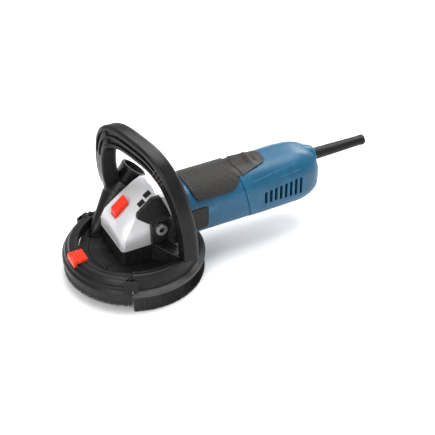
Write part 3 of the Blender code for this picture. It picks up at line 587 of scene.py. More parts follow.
# %% Copies with softened edges
def softened_copy(node, kind, edge, segments):
    source = frame["nodes"][node]
    bm = bmesh.new()
    bm.from_mesh(source.data)
    bmesh.ops.remove_doubles(bm, verts=bm.verts, dist=1e-6)
    bmesh.ops.dissolve_limit(bm, angle_limit=math.radians(1.0), verts=bm.verts, edges=bm.edges)
    mesh = bpy.data.meshes.new(node + "_soft")
    bm.to_mesh(mesh)
    bm.free()
    mesh.shade_smooth()
    piece = bpy.data.objects.new(node + "_soft", mesh)
    bpy.context.scene.collection.objects.link(piece)
    settle(piece, kind, source["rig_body"], (node,))
    soften(piece, edge, segments)


SOFTENED = {
    "gear_housing": ("cast_aluminium", 1.3, 3),
    "bearing_flange": ("cast_aluminium", 0.5, 2),
    "neck_collar": ("black_plastic", 0.6, 2),
    "near_bracket": ("black_plastic", 0.7, 2),
    "far_bracket": ("black_plastic", 0.6, 2),
    "near_bolt": ("dark_steel", 0.4, 2),
    "far_bolt": ("dark_steel", 0.3, 2),
    "lock_button": ("red_plastic", 0.7, 3),
    "front_latch": ("red_plastic", 0.25, 2),
    "near_side_plate": ("black_plastic", 0.25, 2),
    "far_side_plate": ("black_plastic", 0.25, 2),
    "collar_screw": ("dark_steel", 0.25, 2),
    "clamping_nut": ("dark_steel", 0.4, 2),
}
for node, (kind, edge, segments) in SOFTENED.items():
    softened_copy(node, kind, edge, segments)
print("softened copies:", len(SOFTENED))

# %% [markdown]
# ## The shell's skin
# The motor shell is a rounded square that runs along X. Many pieces follow its
# skin: the grip, the switch, the creases and the slots. So one function gives
# the point at a place along the shell and a distance round it from the top
# line, and all of those pieces use it.

# %% Skin of the shell
shell_low, shell_high = box_mm("motor_housing")
cover_low, cover_high = box_mm("rear_cover")
SHELL_HALF_WIDTH = (shell_high.y - shell_low.y) / 2
SHELL_HALF_HEIGHT = (shell_high.z - shell_low.z) / 2
SHELL_AXIS = (shell_low.z + shell_high.z) / 2
SHELL_CORNER = 24.0
SHELL_FRONT = shell_low.x
SEAM_X = cover_low.x
SHELL_REAR = cover_high.x
SHELL_WALL = 3.0


def skin(x, round_distance, lift=0.0):
    """A point on the skin; the distance is signed, negative on the near side."""
    flat = SHELL_HALF_WIDTH - SHELL_CORNER
    drop = SHELL_HALF_HEIGHT - SHELL_CORNER
    side = math.copysign(1.0, round_distance)
    run = abs(round_distance)
    arc = SHELL_CORNER * math.pi / 2
    if run <= flat:
        return Vector((x, round_distance, SHELL_AXIS + SHELL_HALF_HEIGHT + lift))
    angle = min((run - flat) / SHELL_CORNER, math.pi / 2)
    reach = SHELL_CORNER + lift
    below = max(0.0, run - flat - arc)
    return Vector((x, side * (flat + reach * math.sin(angle)),
                   SHELL_AXIS + drop + reach * math.cos(angle) - below))


def skin_distance(height):
    """The distance round the skin at which the side reaches a height."""
    drop = SHELL_HALF_HEIGHT - SHELL_CORNER
    above = height - SHELL_AXIS - drop
    flat = SHELL_HALF_WIDTH - SHELL_CORNER
    if above <= 0.0:
        return flat + SHELL_CORNER * math.pi / 2 - above
    return flat + SHELL_CORNER * math.acos(min(above / SHELL_CORNER, 1.0))


print("shell half sizes in mm:", round(SHELL_HALF_WIDTH, 1), round(SHELL_HALF_HEIGHT, 1))

# %% [markdown]
# ## Motor shell
# The shell is a thin moulding in two parts that meet at a slanted seam. Each
# one is the rounded square extruded along X; the seam's slant is a shear of
# the last ring. Just ahead of the grip the shell flares into a small collar,
# so a few rings there are made a little larger.

# %% Front shell
SEAM_LEAN = -0.21
SHELL_OUTLINE = rounded(SHELL_HALF_WIDTH, SHELL_HALF_HEIGHT, SHELL_CORNER, 14)


def shell_place(x, grown=0.0, lean=0.0):
    """A ring of the shell at X: grown outwards by an amount and leaning with height."""
    wide = 1.0 + grown / SHELL_HALF_WIDTH
    high = 1.0 + grown / SHELL_HALF_HEIGHT
    return Matrix(((1.0, 0.0, lean, x), (0.0, wide, 0.0, 0.0), (0.0, 0.0, high, SHELL_AXIS),
                   (0.0, 0.0, 0.0, 1.0)))


FRONT_RINGS = ((SHELL_FRONT, -1.0, 0.0), (SHELL_FRONT + 1.0, 0.0, 0.0), (46.0, 0.0, 0.0), (49.0, 0.9, -0.05),
               (52.0, 1.3, -0.1), (53.5, 1.3, -0.12), (55.5, 0.0, -0.14), (75.0, 0.0, 0.0), (100.0, 0.0, 0.0),
               (SEAM_X - 1.4, 0.0, SEAM_LEAN), (SEAM_X - 0.4, -0.9, SEAM_LEAN))
front_bm, _ = swept(SHELL_OUTLINE, [shell_place(*ring) for ring in FRONT_RINGS])
front_shell = as_object("front_shell", front_bm)
plate_low, plate_high = box_mm("near_side_plate")
plate_middle = (plate_low + plate_high) / 2
plate_half = (plate_high - plate_low) / 2
OUTSIDE = 40.0
RECESS_DEPTH = 1.5
recess = [(plate_middle.x + a, -OUTSIDE, plate_middle.z + b)
          for a, b in rounded(plate_half.x + 0.3, plate_half.z + 0.3, 4.0, 5)]
inwards = OUTSIDE - SHELL_HALF_WIDTH + RECESS_DEPTH
near_recess = block(recess, (0.0, inwards, 0.0))
far_recess = block([(x, -y, z) for x, y, z in recess], (0.0, -inwards, 0.0))
carve(front_shell, near_recess, far_recess)
settle(front_shell, "blue_plastic", stands_for=("motor_housing",), sharp=28)
print("front shell faces:", len(front_shell.data.polygons))

# %% [markdown]
# The rear cover ends in a rounded shoulder, with a boss where the cord leaves.
# Its rings shrink along a quarter ellipse. The hollow inside, the air slots on
# both sides and the cord's hole are cut afterwards.

# %% Rear cover
SLEEVE_AXIS = 80.0
BOSS_BORE = 7.4
SHOULDER_START = 188.0
SHOULDER_DROP = 15.0
SHOULDER_STEPS = 12
cover_rings = [(SEAM_X - 0.6, -0.9, SEAM_LEAN), (SEAM_X + 0.4, 0.35, SEAM_LEAN), (150.0, 0.35, 0.0),
               (SHOULDER_START, 0.0, 0.0)]
for i in range(1, SHOULDER_STEPS + 1):
    angle = math.pi / 2 * i / SHOULDER_STEPS
    reach = (SHELL_REAR - 2.5 - SHOULDER_START) * math.sin(angle)
    cover_rings.append((SHOULDER_START + reach, -SHOULDER_DROP * (1 - math.cos(angle)), 0.0))
cover_bm, _ = swept(SHELL_OUTLINE, [shell_place(*ring) for ring in cover_rings])
rear_shell = as_object("rear_shell", cover_bm)
SLOT_COUNT = 8
SLOT_PITCH = 6.4
SLOT_FIRST_X = 146.0
slots_bm = bmesh.new()
for side in (-1, 1):
    for i in range(SLOT_COUNT):
        x = SLOT_FIRST_X + SLOT_PITCH * i
        slot = [(x + a, side * OUTSIDE, 64.5 + 0.35 * i + b)
                for a, b in rounded(1.7, 8.0 + 0.45 * i, 1.5, 3)]
        cutter = block(slot, (0.0, -side * 16.0, 0.0))
        mesh = bpy.data.meshes.new("slot")
        cutter.to_mesh(mesh)
        cutter.free()
        slots_bm.from_mesh(mesh)
SLEEVE_CENTRE = (0.0, 0.0, SLEEVE_AXIS)
bore = spun([(0.01, 195.0), (BOSS_BORE, 195.0), (BOSS_BORE, 240.0), (0.01, 240.0)], SLEEVE_CENTRE, "X",
            steps=32)
hollow, _ = swept(SHELL_OUTLINE, [shell_place(x, grown) for x, grown in (
    (SEAM_X - 10.0, -SHELL_WALL), (190.0, -SHELL_WALL), (205.0, -9.0))])
carve(rear_shell, hollow, slots_bm, bore)
settle(rear_shell, "blue_plastic", stands_for=("rear_cover",), sharp=28)
BOSS_OUTLINE = ((BOSS_BORE, -25.0), (14.0, -25.0), (14.6, -16.0), (14.2, -9.0), (13.0, -4.5), (11.6, -1.6),
                (10.2, -0.2), (BOSS_BORE, 0.0))
boss = spun([(radius, SHELL_REAR + back) for radius, back in BOSS_OUTLINE], SLEEVE_CENTRE, "X", steps=64)
settle(as_object("cord_boss", boss), "blue_plastic", edge=0.6, segments=3)
print("air slots:", 2 * SLOT_COUNT)

# %% [markdown]
# Thin raised lines dress the shell: a long crease, a finer one below it and a
# ridge above the slots. Each one is a small rounded section extruded
# along points on the skin, which is quicker and cleaner than reshaping the
# whole shell.

# %% Raised lines on the shell
def route_places(points, outwards):
    """A matrix at each point: X along the route, and Y towards that point's outward direction."""
    places = []
    for i, point in enumerate(points):
        along = (points[min(i + 1, len(points) - 1)] - points[max(i - 1, 0)]).normalized()
        across = (outwards[i] - along * outwards[i].dot(along)).normalized()
        up = along.cross(across)
        rotation = Matrix((along, across, up)).transposed().to_4x4()
        places.append(Matrix.Translation(point) @ rotation)
    return places


LINE_STEPS = 14


def skin_line(name, ends, half_width, height):
    """A low rounded bead along the skin through (X, height above the floor) points, on both sides."""
    for side, label in ((-1, "near"), (1, "far")):
        points, outwards = [], []
        for (x1, h1), (x2, h2) in zip(ends, ends[1:]):
            for i in range(LINE_STEPS):
                share = i / (LINE_STEPS - 1)
                place = (x1 + (x2 - x1) * share, side * skin_distance(h1 + (h2 - h1) * share))
                points.append(skin(*place, lift=-0.1))
                outwards.append(skin(*place, lift=1.0) - skin(*place))
        section = [(height * math.sin(a), half_width * math.cos(a))
                   for a in (0.0, math.pi / 4, math.pi / 2, math.pi * 3 / 4, math.pi)]
        bm, _ = swept(section + [(-0.6, -half_width), (-0.6, half_width)], route_places(points, outwards))
        settle(as_object(name + "_" + label, bm), "blue_plastic", sharp=50)


skin_line("upper_crease", [(131.0, 87.2), (146.0, 89.2), (186.0, 92.6)], 0.7, 0.75)
skin_line("lower_crease", [(140.0, 82.6), (190.0, 86.6)], 0.35, 0.4)
skin_line("slot_ridge", [(142.0, 76.5), (197.0, 78.6)], 0.6, 0.7)
print("raised lines: 3 on each side")

# %% [markdown]
# ## Grip and switch
# The grip is soft rubber moulded over the shell. A grid is laid on the skin:
# its width follows the real outline, with a slanted front edge and a pointed
# rear edge. Solidify gives it its thickness and Bevel rounds the rim.

# %% Soft grip
GRIP_EDGE = ((57.0, 27.0), (61.5, 32.9), (105.0, 32.9), (111.0, 28.2), (117.0, 22.9))
GRIP_LIFT = 0.2
GRIP_THICKNESS = 1.9


def grip_half_width(x):
    for (x1, w1), (x2, w2) in zip(GRIP_EDGE, GRIP_EDGE[1:]):
        if x <= x2:
            return w1 + (w2 - w1) * (x - x1) / (x2 - x1)
    return GRIP_EDGE[-1][1]


def grip_ends(x, share):
    """The rear edge points forwards in the middle; the front edge slants back near the sides."""
    rear = max(0.0, (x - 100.0) / 17.0)
    front = max(0.0, (70.0 - x) / 13.0)
    return -7.0 * rear * (1.0 - share) + 3.0 * front * share ** 3


GRIP_START, GRIP_STOP = GRIP_EDGE[0][0], GRIP_EDGE[-1][0]
sheet = bmesh.new()
bmesh.ops.create_grid(sheet, x_segments=60, y_segments=44, size=1.0)
for vert in sheet.verts:
    x = GRIP_START + (GRIP_STOP - GRIP_START) * (vert.co.x + 1) / 2
    turn = vert.co.y * grip_half_width(x)
    vert.co = skin(x + grip_ends(x, abs(vert.co.y)), turn, GRIP_LIFT)
bmesh.ops.reverse_faces(sheet, faces=sheet.faces)
grip = as_object("soft_grip", sheet, outwards=False)
top_face = max(grip.data.polygons, key=lambda face: face.center.z)
if top_face.normal.z < 0:
    grip.data.flip_normals()
thickness = grip.modifiers.new("thickness", "SOLIDIFY")
thickness.thickness = GRIP_THICKNESS * MM
thickness.offset = 1.0
settle(grip, "soft_grip", stands_for=("grip_overlay",), edge=0.6)
print("grip faces:", len(grip.data.polygons))

# %% [markdown]
# The switch is a slide that tapers to a blunt tail. Its CAD form is right, so
# it takes soft edges and its own warm grey. Fine cross ribs for the thumb are
# laid on top and slide with it.

# %% Slide switch
FINISH["switch_grey"] = finish("switch_nylon", (0.016, 0.0145, 0.013), (0.024, 0.022, 0.020), 0.44,
                               grain_size=0.45, bump=0.06, wear_colour=(0.03, 0.028, 0.026), specular=0.22)
softened_copy("switch_slider", "switch_grey", 0.5, 2)
SLIDER_REAR = box_mm("switch_slider")[1].x
SLIDER_BODY = frame["nodes"]["switch_slider"]["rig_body"]
RIB_COUNT = 6
RIB_TURNS = (-6.5, -4.5, -2.2, 0.0, 2.2, 4.5, 6.5)
for i in range(RIB_COUNT):
    x = SLIDER_REAR - 21.0 + 2.3 * i
    points = [skin(x, turn, 1.7) for turn in RIB_TURNS]
    outwards = [skin(x, turn, 3.0) - skin(x, turn, 1.0) for turn in RIB_TURNS]
    rib, _ = swept([(0.9, -0.3), (0.9, 0.3), (-0.6, 0.75), (-0.6, -0.75)], route_places(points, outwards))
    settle(as_object("thumb_rib_%d" % i, rib), "switch_grey", SLIDER_BODY, edge=0.12)
print("switch ribs:", RIB_COUNT)

# %% [markdown]
# ## Cord sleeve
# The sleeve keeps the cord from kinking where it leaves the tool. It is rubber,
# tapers towards its end and finishes in a small bead. One outline with a few
# shallow rings is spun round the sleeve's axis; the bore stays open.

# %% Cord sleeve
SLEEVE_END = box_mm("cord_sleeve")[1].x
SLEEVE_BORE = 4.2
SLEEVE_RINGS = 6
outline = [(SLEEVE_BORE, SHELL_REAR - 14.0), (7.3, SHELL_REAR - 14.0), (7.2, SHELL_REAR + 1.0)]
for i in range(SLEEVE_RINGS):
    outline += [(radius - 0.05 * i, SHELL_REAR + 3.0 + 2.6 * i + back)
                for radius, back in ((7.05, 0.0), (6.85, 0.5), (6.85, 1.0), (7.0, 1.5))]
outline += [(radius, SLEEVE_END - back) for radius, back in (
    (5.8, 6.0), (5.9, 5.4), (6.15, 4.6), (6.25, 3.0), (6.15, 1.2), (5.9, 0.3), (5.4, 0.0), (4.7, 0.0),
    (SLEEVE_BORE, 0.6))]
sleeve = spun(outline, SLEEVE_CENTRE, "X", steps=64)
settle(as_object("cord_sleeve_rubber", sleeve), "rubber", stands_for=("cord_sleeve",), sharp=40)
print("sleeve length in mm:", round(SLEEVE_END - SHELL_REAR, 1))

# %% [markdown]
# ## Dust hood
# The hood has a fixed part and a front part that flips up, so that the wheel
# can reach a wall. Both are rims spun round the hood's centre. The outline
# holds what the eye sees: a flat top with a fine groove, a rounded shoulder, a
# fillet at the foot, the outward lip and its rolled edge. A thin strip in a
# paler black lies on the lip of the fixed part: a painted highlight, standing
# in for the soft light on the lip's sloped flat.

# %% Fixed rim
HOOD_CENTRE_X = -3.0
HOOD_PLATE = 30.0
LIP_TOP = 23.4
LIP_BOTTOM = 19.6
LIP_HIGHLIGHT_STRIP = ((73.6, 25.3), (74.6, 24.45), (77.9, 23.65), (78.8, 23.0), (79.0, 22.0), (79.0, 20.6),
             (79.2, 20.4), (79.2, 23.0), (78.2, 24.1), (74.8, 25.0))
FIXED_ARC = 114.7
SEGMENT_ARC = 115.4
TALL_WALL = HOOD_PLATE + 14.0
FIXED_RIM = ((60.2, HOOD_PLATE - 2.6), (60.2, HOOD_PLATE + 0.2), (61.4, HOOD_PLATE + 1.2),
             (62.0, TALL_WALL - 1.6), (62.6, TALL_WALL - 0.5), (63.6, TALL_WALL), (66.0, TALL_WALL),
             (66.3, TALL_WALL - 0.7),
             (67.1, TALL_WALL - 0.7), (67.4, TALL_WALL), (69.4, TALL_WALL), (70.6, TALL_WALL - 0.5),
             (71.3, TALL_WALL - 1.7), (72.4, 27.4), (72.9, 25.4), (74.1, 24.3), (77.9, LIP_TOP),
             (78.7, LIP_TOP - 0.5), (79.0, LIP_TOP - 1.4), (79.0, LIP_BOTTOM), (73.3, LIP_BOTTOM),
             (69.4, 24.6),
             (68.8, TALL_WALL - 4.0), (64.6, TALL_WALL - 3.2), (63.0, HOOD_PLATE - 2.6))


def hood_ring(outline, start=0.0, sweep=360.0, steps=96):
    """An outline spun about the hood's centre, over an arc in degrees."""
    return spun(outline, (HOOD_CENTRE_X, 0.0, 0.0), start=math.radians(start), sweep=math.radians(sweep),
                steps=steps)


def hinge_ring(side, inner, outer, low, high, steps=32):
    """A ring on the hinge's axis; side is -1 near and 1 far."""
    outline = [(inner, -side * low), (outer, -side * low), (outer, -side * high), (inner, -side * high)]
    return spun(outline, (HINGE_X, 0.0, HINGE_HEIGHT), "Y", steps=steps)


def wall_height(angle):
    """The top of the fixed wall: tall at the near side, lower far side, lowest under the motor."""
    share = min(max((abs(math.degrees(angle)) - 44.0) / 20.0, 0.0), 1.0)
    rise = 14.0 if angle < 0 else 7.0
    return HOOD_PLATE + rise * share * share * (3 - 2 * share)


def lower_wall(bm, floor_height, tall):
    """Pulls down what stands above the plate, more where the wall is low."""
    for vert in bm.verts:
        angle = math.atan2(vert.co.y, vert.co.x - HOOD_CENTRE_X)
        share = min(max((vert.co.z - floor_height) / (tall - floor_height), 0.0), 1.0)
        vert.co.z -= share * (tall - max(wall_height(angle), floor_height + 0.6))


hinge_low, hinge_high = box_mm("hinge_pin_near")
HINGE_X = (hinge_low.x + hinge_high.x) / 2
HINGE_HEIGHT = (hinge_low.z + hinge_high.z) / 2
SIDES = ((-1, "near"), (1, "far"))
rim = hood_ring(FIXED_RIM, -FIXED_ARC, 2 * FIXED_ARC, steps=150)
lower_wall(rim, 26.5, TALL_WALL)
fixed_rim = as_object("hood_rim", rim)
carve(fixed_rim, *[hinge_ring(side, 0.01, 5.9, 50.0, 60.4, steps=24) for side, _ in SIDES])
settle(fixed_rim, "black_plastic", stands_for=("hood_body",), sharp=40)
# The strip in a paler black on the fixed lip paints the highlight that light leaves on the lip's sloped flat.
lip = hood_ring(LIP_HIGHLIGHT_STRIP, -FIXED_ARC, 2 * FIXED_ARC, steps=150)
settle(as_object("lip_highlight_strip", lip), "lip_painted_highlight", sharp=40)
print("hinge at", round(HINGE_X, 1), round(HINGE_HEIGHT, 1))

# %% [markdown]
# The plate inside the rim is a flat dish with two low steps and short radial
# ribs, which keep a thin moulding stiff. It has the spindle's hole and the
# opening under the duct.

# %% Plate of the hood
PLATE_OUTLINE = ((26.2, 27.0), (60.4, 27.0), (60.4, 30.0), (57.6, 30.0), (57.0, 29.3), (50.0, 29.3),
                 (49.4, 30.0), (36.0, 30.0), (35.4, 29.5), (26.2, 29.5))
DUCT_HOLE = ((-40.0, 37.5), (-31.0, 44.5), (-18.0, 49.0), (-2.0, 51.0), (-2.0, 45.5), (-14.0, 38.5),
             (-28.0, 36.0))
plate = as_object("hood_plate", hood_ring(PLATE_OUTLINE))
spindle_hole = spun([(0.01, 20.0), (26.0, 20.0), (26.0, 40.0), (0.01, 40.0)], (0.0, 0.0, 0.0), steps=48)
carve(plate, spindle_hole, block([(x, y, 20.0) for x, y in DUCT_HOLE], (0.0, 0.0, 20.0)))
settle(plate, "black_plastic", edge=0.25)
RIB_ANGLES = (-152, -136, -120, -104, -64, -44)
ribs_bm = bmesh.new()
for degrees in RIB_ANGLES:
    turn = Matrix.Translation((HOOD_CENTRE_X, 0, 0)) @ Matrix.Rotation(math.radians(degrees), 4, "Z")
    cuboid((18.0, 1.3, 1.4), turn @ Matrix.Translation((51.0, 0.0, HOOD_PLATE + 0.2)), ribs_bm)
settle(as_object("plate_ribs", ribs_bm), "black_plastic", edge=0.35)
print("plate ribs:", len(RIB_ANGLES))

# %% [markdown]
# Each end of the fixed wall carries a curved block beside the hinge, and a lug
# holds the pin. A sloping gusset runs from the gear head's bracket to the near
# foot of the bow and stiffens the wall.

# %% Hinge blocks and gusset
for side, label in SIDES:
    tall = 40.0 if side < 0 else 38.4
    cover = hood_ring([(68.6, 33.0), (72.6, 27.2), (72.6, tall - 0.6), (72.0, tall), (68.0, tall)],
                      side * 107.6, side * 6.8, steps=8)
    settle(as_object("hinge_block_" + label, cover), "black_plastic", edge=0.5)
    lug = hinge_ring(side, 1.8, 4.0, 60.6, 64.4)
    settle(as_object("hinge_lug_" + label, lug), "black_plastic", edge=0.3)
gusset = bridged(([(4.5, -32.0, 30.2), (26.5, -32.0, 30.2), (36.0, -51.0, 30.2), (20.0, -56.5, 30.2)],
                  [(4.5, -32.0, 51.8), (26.5, -32.0, 51.8), (41.0, -54.5, 44.2), (25.5, -60.0, 44.2)]))
settle(as_object("leg_gusset", gusset), "black_plastic", edge=0.8)
print("hinge blocks and lugs:", 2 * len(SIDES))

# %% [markdown]
# The front part of the hood has its own rim. Its top is a flat ring with a low
# step, then it slopes and drops to the same lip. The latch sits in a pocket,
# and the ends are cut back round the hinge. A skirt closes the gap down to the
# plate, and a tab covers the seam at each end.

# %% Front rim
FRONT_RIM = ((60.5, 36.6), (60.5, 39.0), (61.1, 39.6), (64.6, 39.6), (65.2, 39.0), (68.4, 38.9), (69.6, 38.6),
             (71.0, 37.6), (72.2, 33.4), (73.0, 32.3), (75.2, 31.5), (75.9, 30.4), (76.3, 28.2), (77.0, 26.8),
             (78.4, 26.0), (79.0, 24.8), (79.0, LIP_BOTTOM), (73.3, LIP_BOTTOM), (71.2, 24.8), (69.4, 35.2),
             (67.6, 36.6))
SEGMENT_BODY = frame["nodes"]["front_segment"]["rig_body"]
front_rim = as_object("front_rim", hood_ring(FRONT_RIM, SEGMENT_ARC, 360.0 - 2 * SEGMENT_ARC, steps=100))
latch_low, latch_high = box_mm("front_latch")
pocket_near, pocket_far = latch_low.y - 0.4, latch_high.y + 0.4
pocket = block([(-81.0, pocket_near, 38.3), (-55.0, pocket_near, 38.3), (-55.0, pocket_far, 38.3),
                (-81.0, pocket_far, 38.3)], (0.0, 0.0, 10.0))
CHEEK = ((HINGE_X - 4.8, 60.3), (-25.0, 60.3), (-25.0, 64.7), (HINGE_X - 4.8, 64.7))
cheeks = [block([(x, side * y, 30.5) for x, y in CHEEK], (0.0, 0.0, 20.0)) for side, _ in SIDES]
carve(front_rim, pocket, *cheeks)
settle(front_rim, "black_plastic", SEGMENT_BODY, ("front_segment",), sharp=40)
skirt = hood_ring([(60.6, 30.7), (61.6, 30.7), (61.8, 37.2), (60.6, 37.2)], 117.5, 125.0, steps=60)
settle(as_object("front_skirt", skirt), "black_plastic", SEGMENT_BODY, sharp=40)
for side, label in SIDES:
    tab_top = 39.8 if side < 0 else 37.0
    tab = hood_ring([(74.1, 27.6), (76.8, 27.6), (77.2, 28.2), (76.8, tab_top - 0.8), (76.0, tab_top),
                     (74.3, tab_top)], side * 110.5, side * 11.0, steps=10)
    settle(as_object("hinge_tab_" + label, tab), "black_plastic", SEGMENT_BODY, edge=0.5)
    knuckle = hinge_ring(side, 1.8, 3.8, 56.6, 60.1)
    settle(as_object("hinge_knuckle_" + label, knuckle), "black_plastic", SEGMENT_BODY, edge=0.3)
print("front rim faces:", len(front_rim.data.polygons))

# %% [markdown]
# ## Brush ring
# The brush seals the hood to the floor. It is a ring of stiff nylon bristles
# set in rows. A dark core fills the middle, and hundreds of slim three-sided
# bristles stand round it, each a little out of line, because a solid ring never
# looks like a brush. The random numbers are seeded, so every run is the same.

# %% Bristles
BRUSH_TOP = 19.4
BRISTLE_ROWS = (73.9, 75.4, 76.8, 77.8)
BRISTLE_PITCH = 0.95
MIDDLE_ROW = 76.0


def brush(name, low_height, start, sweep, body="grinder"):
    """A core and rows of bristles over an arc in degrees."""
    core_low = low_height + 2.5
    core = hood_ring([(74.3, core_low), (77.3, core_low), (77.3, BRUSH_TOP), (74.3, BRUSH_TOP)],
                     start, sweep, steps=80)
    settle(as_object(name + "_core", core), "bristle", body)
    dice = random.Random(11)
    bm = bmesh.new()
    start, sweep = math.radians(start), math.radians(sweep)
    count = int(sweep * MIDDLE_ROW / BRISTLE_PITCH)
    for row_radius in BRISTLE_ROWS:
        for i in range(count):
            angle = start + sweep * (i + dice.uniform(0.2, 0.8)) / count
            height = BRUSH_TOP - low_height - dice.uniform(0.0, 0.7)
            lean = Matrix.Rotation(dice.uniform(-0.035, 0.035), 4, "X") @ Matrix.Rotation(
                dice.uniform(-0.02, 0.02), 4, "Y")
            place = (Matrix.Translation((HOOD_CENTRE_X, 0, 0)) @ Matrix.Rotation(angle, 4, "Z")
                     @ Matrix.Translation((row_radius, 0, BRUSH_TOP)) @ lean
                     @ Matrix.Translation((0, 0, -height / 2)))
            bmesh.ops.create_cone(bm, cap_ends=True, segments=3, radius1=0.30, radius2=0.46, depth=height,
                                  matrix=place)
    return settle(as_object(name + "_bristles", bm), "bristle", body, (name,), sharp=80)


fixed_bristles = brush("hood_brush", 0.0, -FIXED_ARC, 2 * FIXED_ARC)
front_bristles = brush("front_brush", box_mm("front_brush")[0].z, 115.6, 128.8, SEGMENT_BODY)
print("bristle faces:", len(fixed_bristles.data.polygons) + len(front_bristles.data.polygons))

# %% [markdown]
# ## Suction duct
# The dust leaves through a duct that rises from the hood's far side to a round
# mouth for the hose. Rings of points are bridged up the outside from the oval
# foot to the round tube, over the mouth and down the inside again, so the duct
# is really hollow. A bead strengthens the mouth.

# %% Suction duct
DUCT_RISE = math.radians(51.0)
DUCT_MOUTH = Vector((25.7, 56.0, 90.7))


def duct_spot(back):
    return DUCT_MOUTH - Vector((math.cos(DUCT_RISE), 0.0, math.sin(DUCT_RISE))) * back


def duct_ring(back, radius, steps=48):
    """A circle square to the duct's straight upper run."""
    up = Vector((-math.sin(DUCT_RISE), 0.0, math.cos(DUCT_RISE)))
    return [duct_spot(back) + up * (radius * math.cos(math.tau * i / steps))
            + Vector((0.0, radius * math.sin(math.tau * i / steps), 0.0)) for i in range(steps)]


def foot_ring(height, shrink=0.0, steps=48):
    """The oval foot, slanted to stay inside the rim."""
    ring = []
    for i in range(steps):
        along = (23.5 - shrink) * math.cos(math.tau * i / steps)
        across = (10.2 - shrink) * math.sin(math.tau * i / steps)
        ring.append(Vector((-18.0 - 0.93 * along, 43.4 + across - 0.22 * along, height)))
    return ring


def between(low, high, share):
    return [one.lerp(two, share) for one, two in zip(low, high)]


foot, neck = foot_ring(33.0), duct_ring(42.0, 15.4)
duct_rings = [foot_ring(30.3, -0.6), foot_ring(31.8, -0.6), foot_ring(32.2), foot,
              between(foot, neck, 0.3), between(foot, neck, 0.62), between(foot, neck, 0.86), neck,
              duct_ring(37.0, 15.0), duct_ring(3.6, 15.0), duct_ring(3.2, 15.35), duct_ring(0.6, 15.35),
              duct_ring(0.0, 14.9), duct_ring(0.0, 13.2), duct_ring(0.6, 12.8), duct_ring(36.0, 12.8),
              duct_ring(42.0, 12.9), between(foot_ring(33.0, 3.0), duct_ring(42.0, 12.9), 0.5),
              foot_ring(32.0, 3.0), foot_ring(30.3, 3.0)]
settle(as_object("duct_tube", bridged(duct_rings, closed=True)), "black_plastic",
       stands_for=("suction_duct",), sharp=45)
print("duct mouth at", [round(v, 1) for v in DUCT_MOUTH])

# %% [markdown]
# ## Bow handle
# The bow is the second grip. It rises from the duct, crosses over the gear head
# and comes down in front of it to the near side of the hood. A real one is
# moulded with long grooves in its front face, so that the walls have an even
# thickness. One outline with the two grooves marked in it is extruded along a
# smooth curve. Then the grooves' floors are pushed in along the open runs only,
# so that cross walls stay between them and the grooves are real shapes.

# %% Bow handle
BOW_ROUTE = ((-4.0, 54.0, 84.0), (-7.0, 54.0, 102.0), (-7.0, 53.5, 127.0), (-5.0, 47.0, 146.0),
             (2.0, 32.0, 153.5), (10.5, 8.0, 151.5), (19.0, -17.0, 145.0), (25.5, -36.0, 130.5),
             (31.0, -48.5, 107.0), (34.5, -55.8, 81.0), (35.5, -59.8, 60.0), (35.0, -62.5, 44.6))
BOW_THICKNESSES = (19.0, 20.0, 22.0, 25.0, 26.0, 26.0, 25.5, 24.5, 22.5, 19.0, 17.5, 17.0)
BOW_DEPTH = 19.0
STEPS_PER_SPAN = 20
SECTION_THICKNESS = 20.0
GROOVE_DEPTH = 1.9
OPEN_RUNS = ((1.9, 3.25), (3.4, 6.3), (6.42, 6.52), (6.62, 6.72), (6.82, 6.92), (7.05, 8.95), (9.1, 9.22),
             (9.32, 9.44), (9.54, 9.66), (9.8, 9.95), (10.05, 10.2), (10.3, 10.6))


def smooth_route(points, per_span):
    """A Catmull-Rom curve through a few chosen points."""
    ends = [2 * points[0] - points[1]] + points + [2 * points[-1] - points[-2]]
    route = []
    for i in range(1, len(ends) - 2):
        a, b, c, d = ends[i - 1:i + 3]
        for step in range(per_span):
            t = step / per_span
            route.append(0.5 * (2 * b + (c - a) * t + (2 * a - 5 * b + 4 * c - d) * t * t
                                + (3 * b - 3 * c + d - a) * t * t * t))
    return route + [points[-1]]


def corner_points(x, y, turn, radius, steps):
    """Points round one corner of the bow's section."""
    angles = [turn + math.pi / 2 * i / steps for i in range(steps + 1)]
    return [(x + radius * math.cos(angle), y + radius * math.sin(angle)) for angle in angles]


half = BOW_DEPTH / 2
groove_edges = [(-half, 6.0), (-half, 5.4), (-half + 0.1, 5.1), (-half + 0.1, 1.3), (-half, 1.0)]
section = (corner_points(half - 6.5, 10 - 6.5, 0.0, 6.5, 5)
           + corner_points(3.0 - half, 10 - 3.0, math.pi / 2, 3.0, 3)
           + groove_edges + [(a, -b) for a, b in reversed(groove_edges)]
           + corner_points(3.0 - half, 3.0 - 10, math.pi, 3.0, 3)
           + corner_points(half - 6.5, 6.5 - 10, math.pi * 1.5, 6.5, 5))
FLOOR_SPOTS = [i for i, (a, b) in enumerate(section) if abs(a + half - 0.1) < 1e-6]
knots = [Vector((*point, thick)) for point, thick in zip(BOW_ROUTE, BOW_THICKNESSES)]
stations = smooth_route(knots, STEPS_PER_SPAN)
route = [station.to_3d() for station in stations]
bow_places = []
for i, centre in enumerate(route):
    along = (route[min(i + 1, len(route) - 1)] - route[max(i - 1, 0)]).normalized()
    depth = Vector((1.0, 0.0, 0.0))
    depth = (depth - along * depth.dot(along)).normalized()
    side = along.cross(depth)
    if i == len(route) - 1:
        depth = Vector((1.0, 0.0, 0.0))
        side = Vector((0.0, math.copysign(1.0, side.y), 0.0))
    side = side * (stations[i].w / SECTION_THICKNESS)
    turned = Matrix((along, depth, side)).transposed().to_4x4()
    bow_places.append(Matrix.Translation(centre) @ turned)
bow, bow_rings = swept(section, bow_places)
pushed = 0
for i, ring in enumerate(bow_rings):
    if not any(start - 0.01 <= i / STEPS_PER_SPAN <= end + 0.01 for start, end in OPEN_RUNS):
        continue
    for spot in FLOOR_SPOTS:
        ring[spot].co += Vector(bow_places[i].col[1][:3]) * GROOVE_DEPTH
        pushed += 1
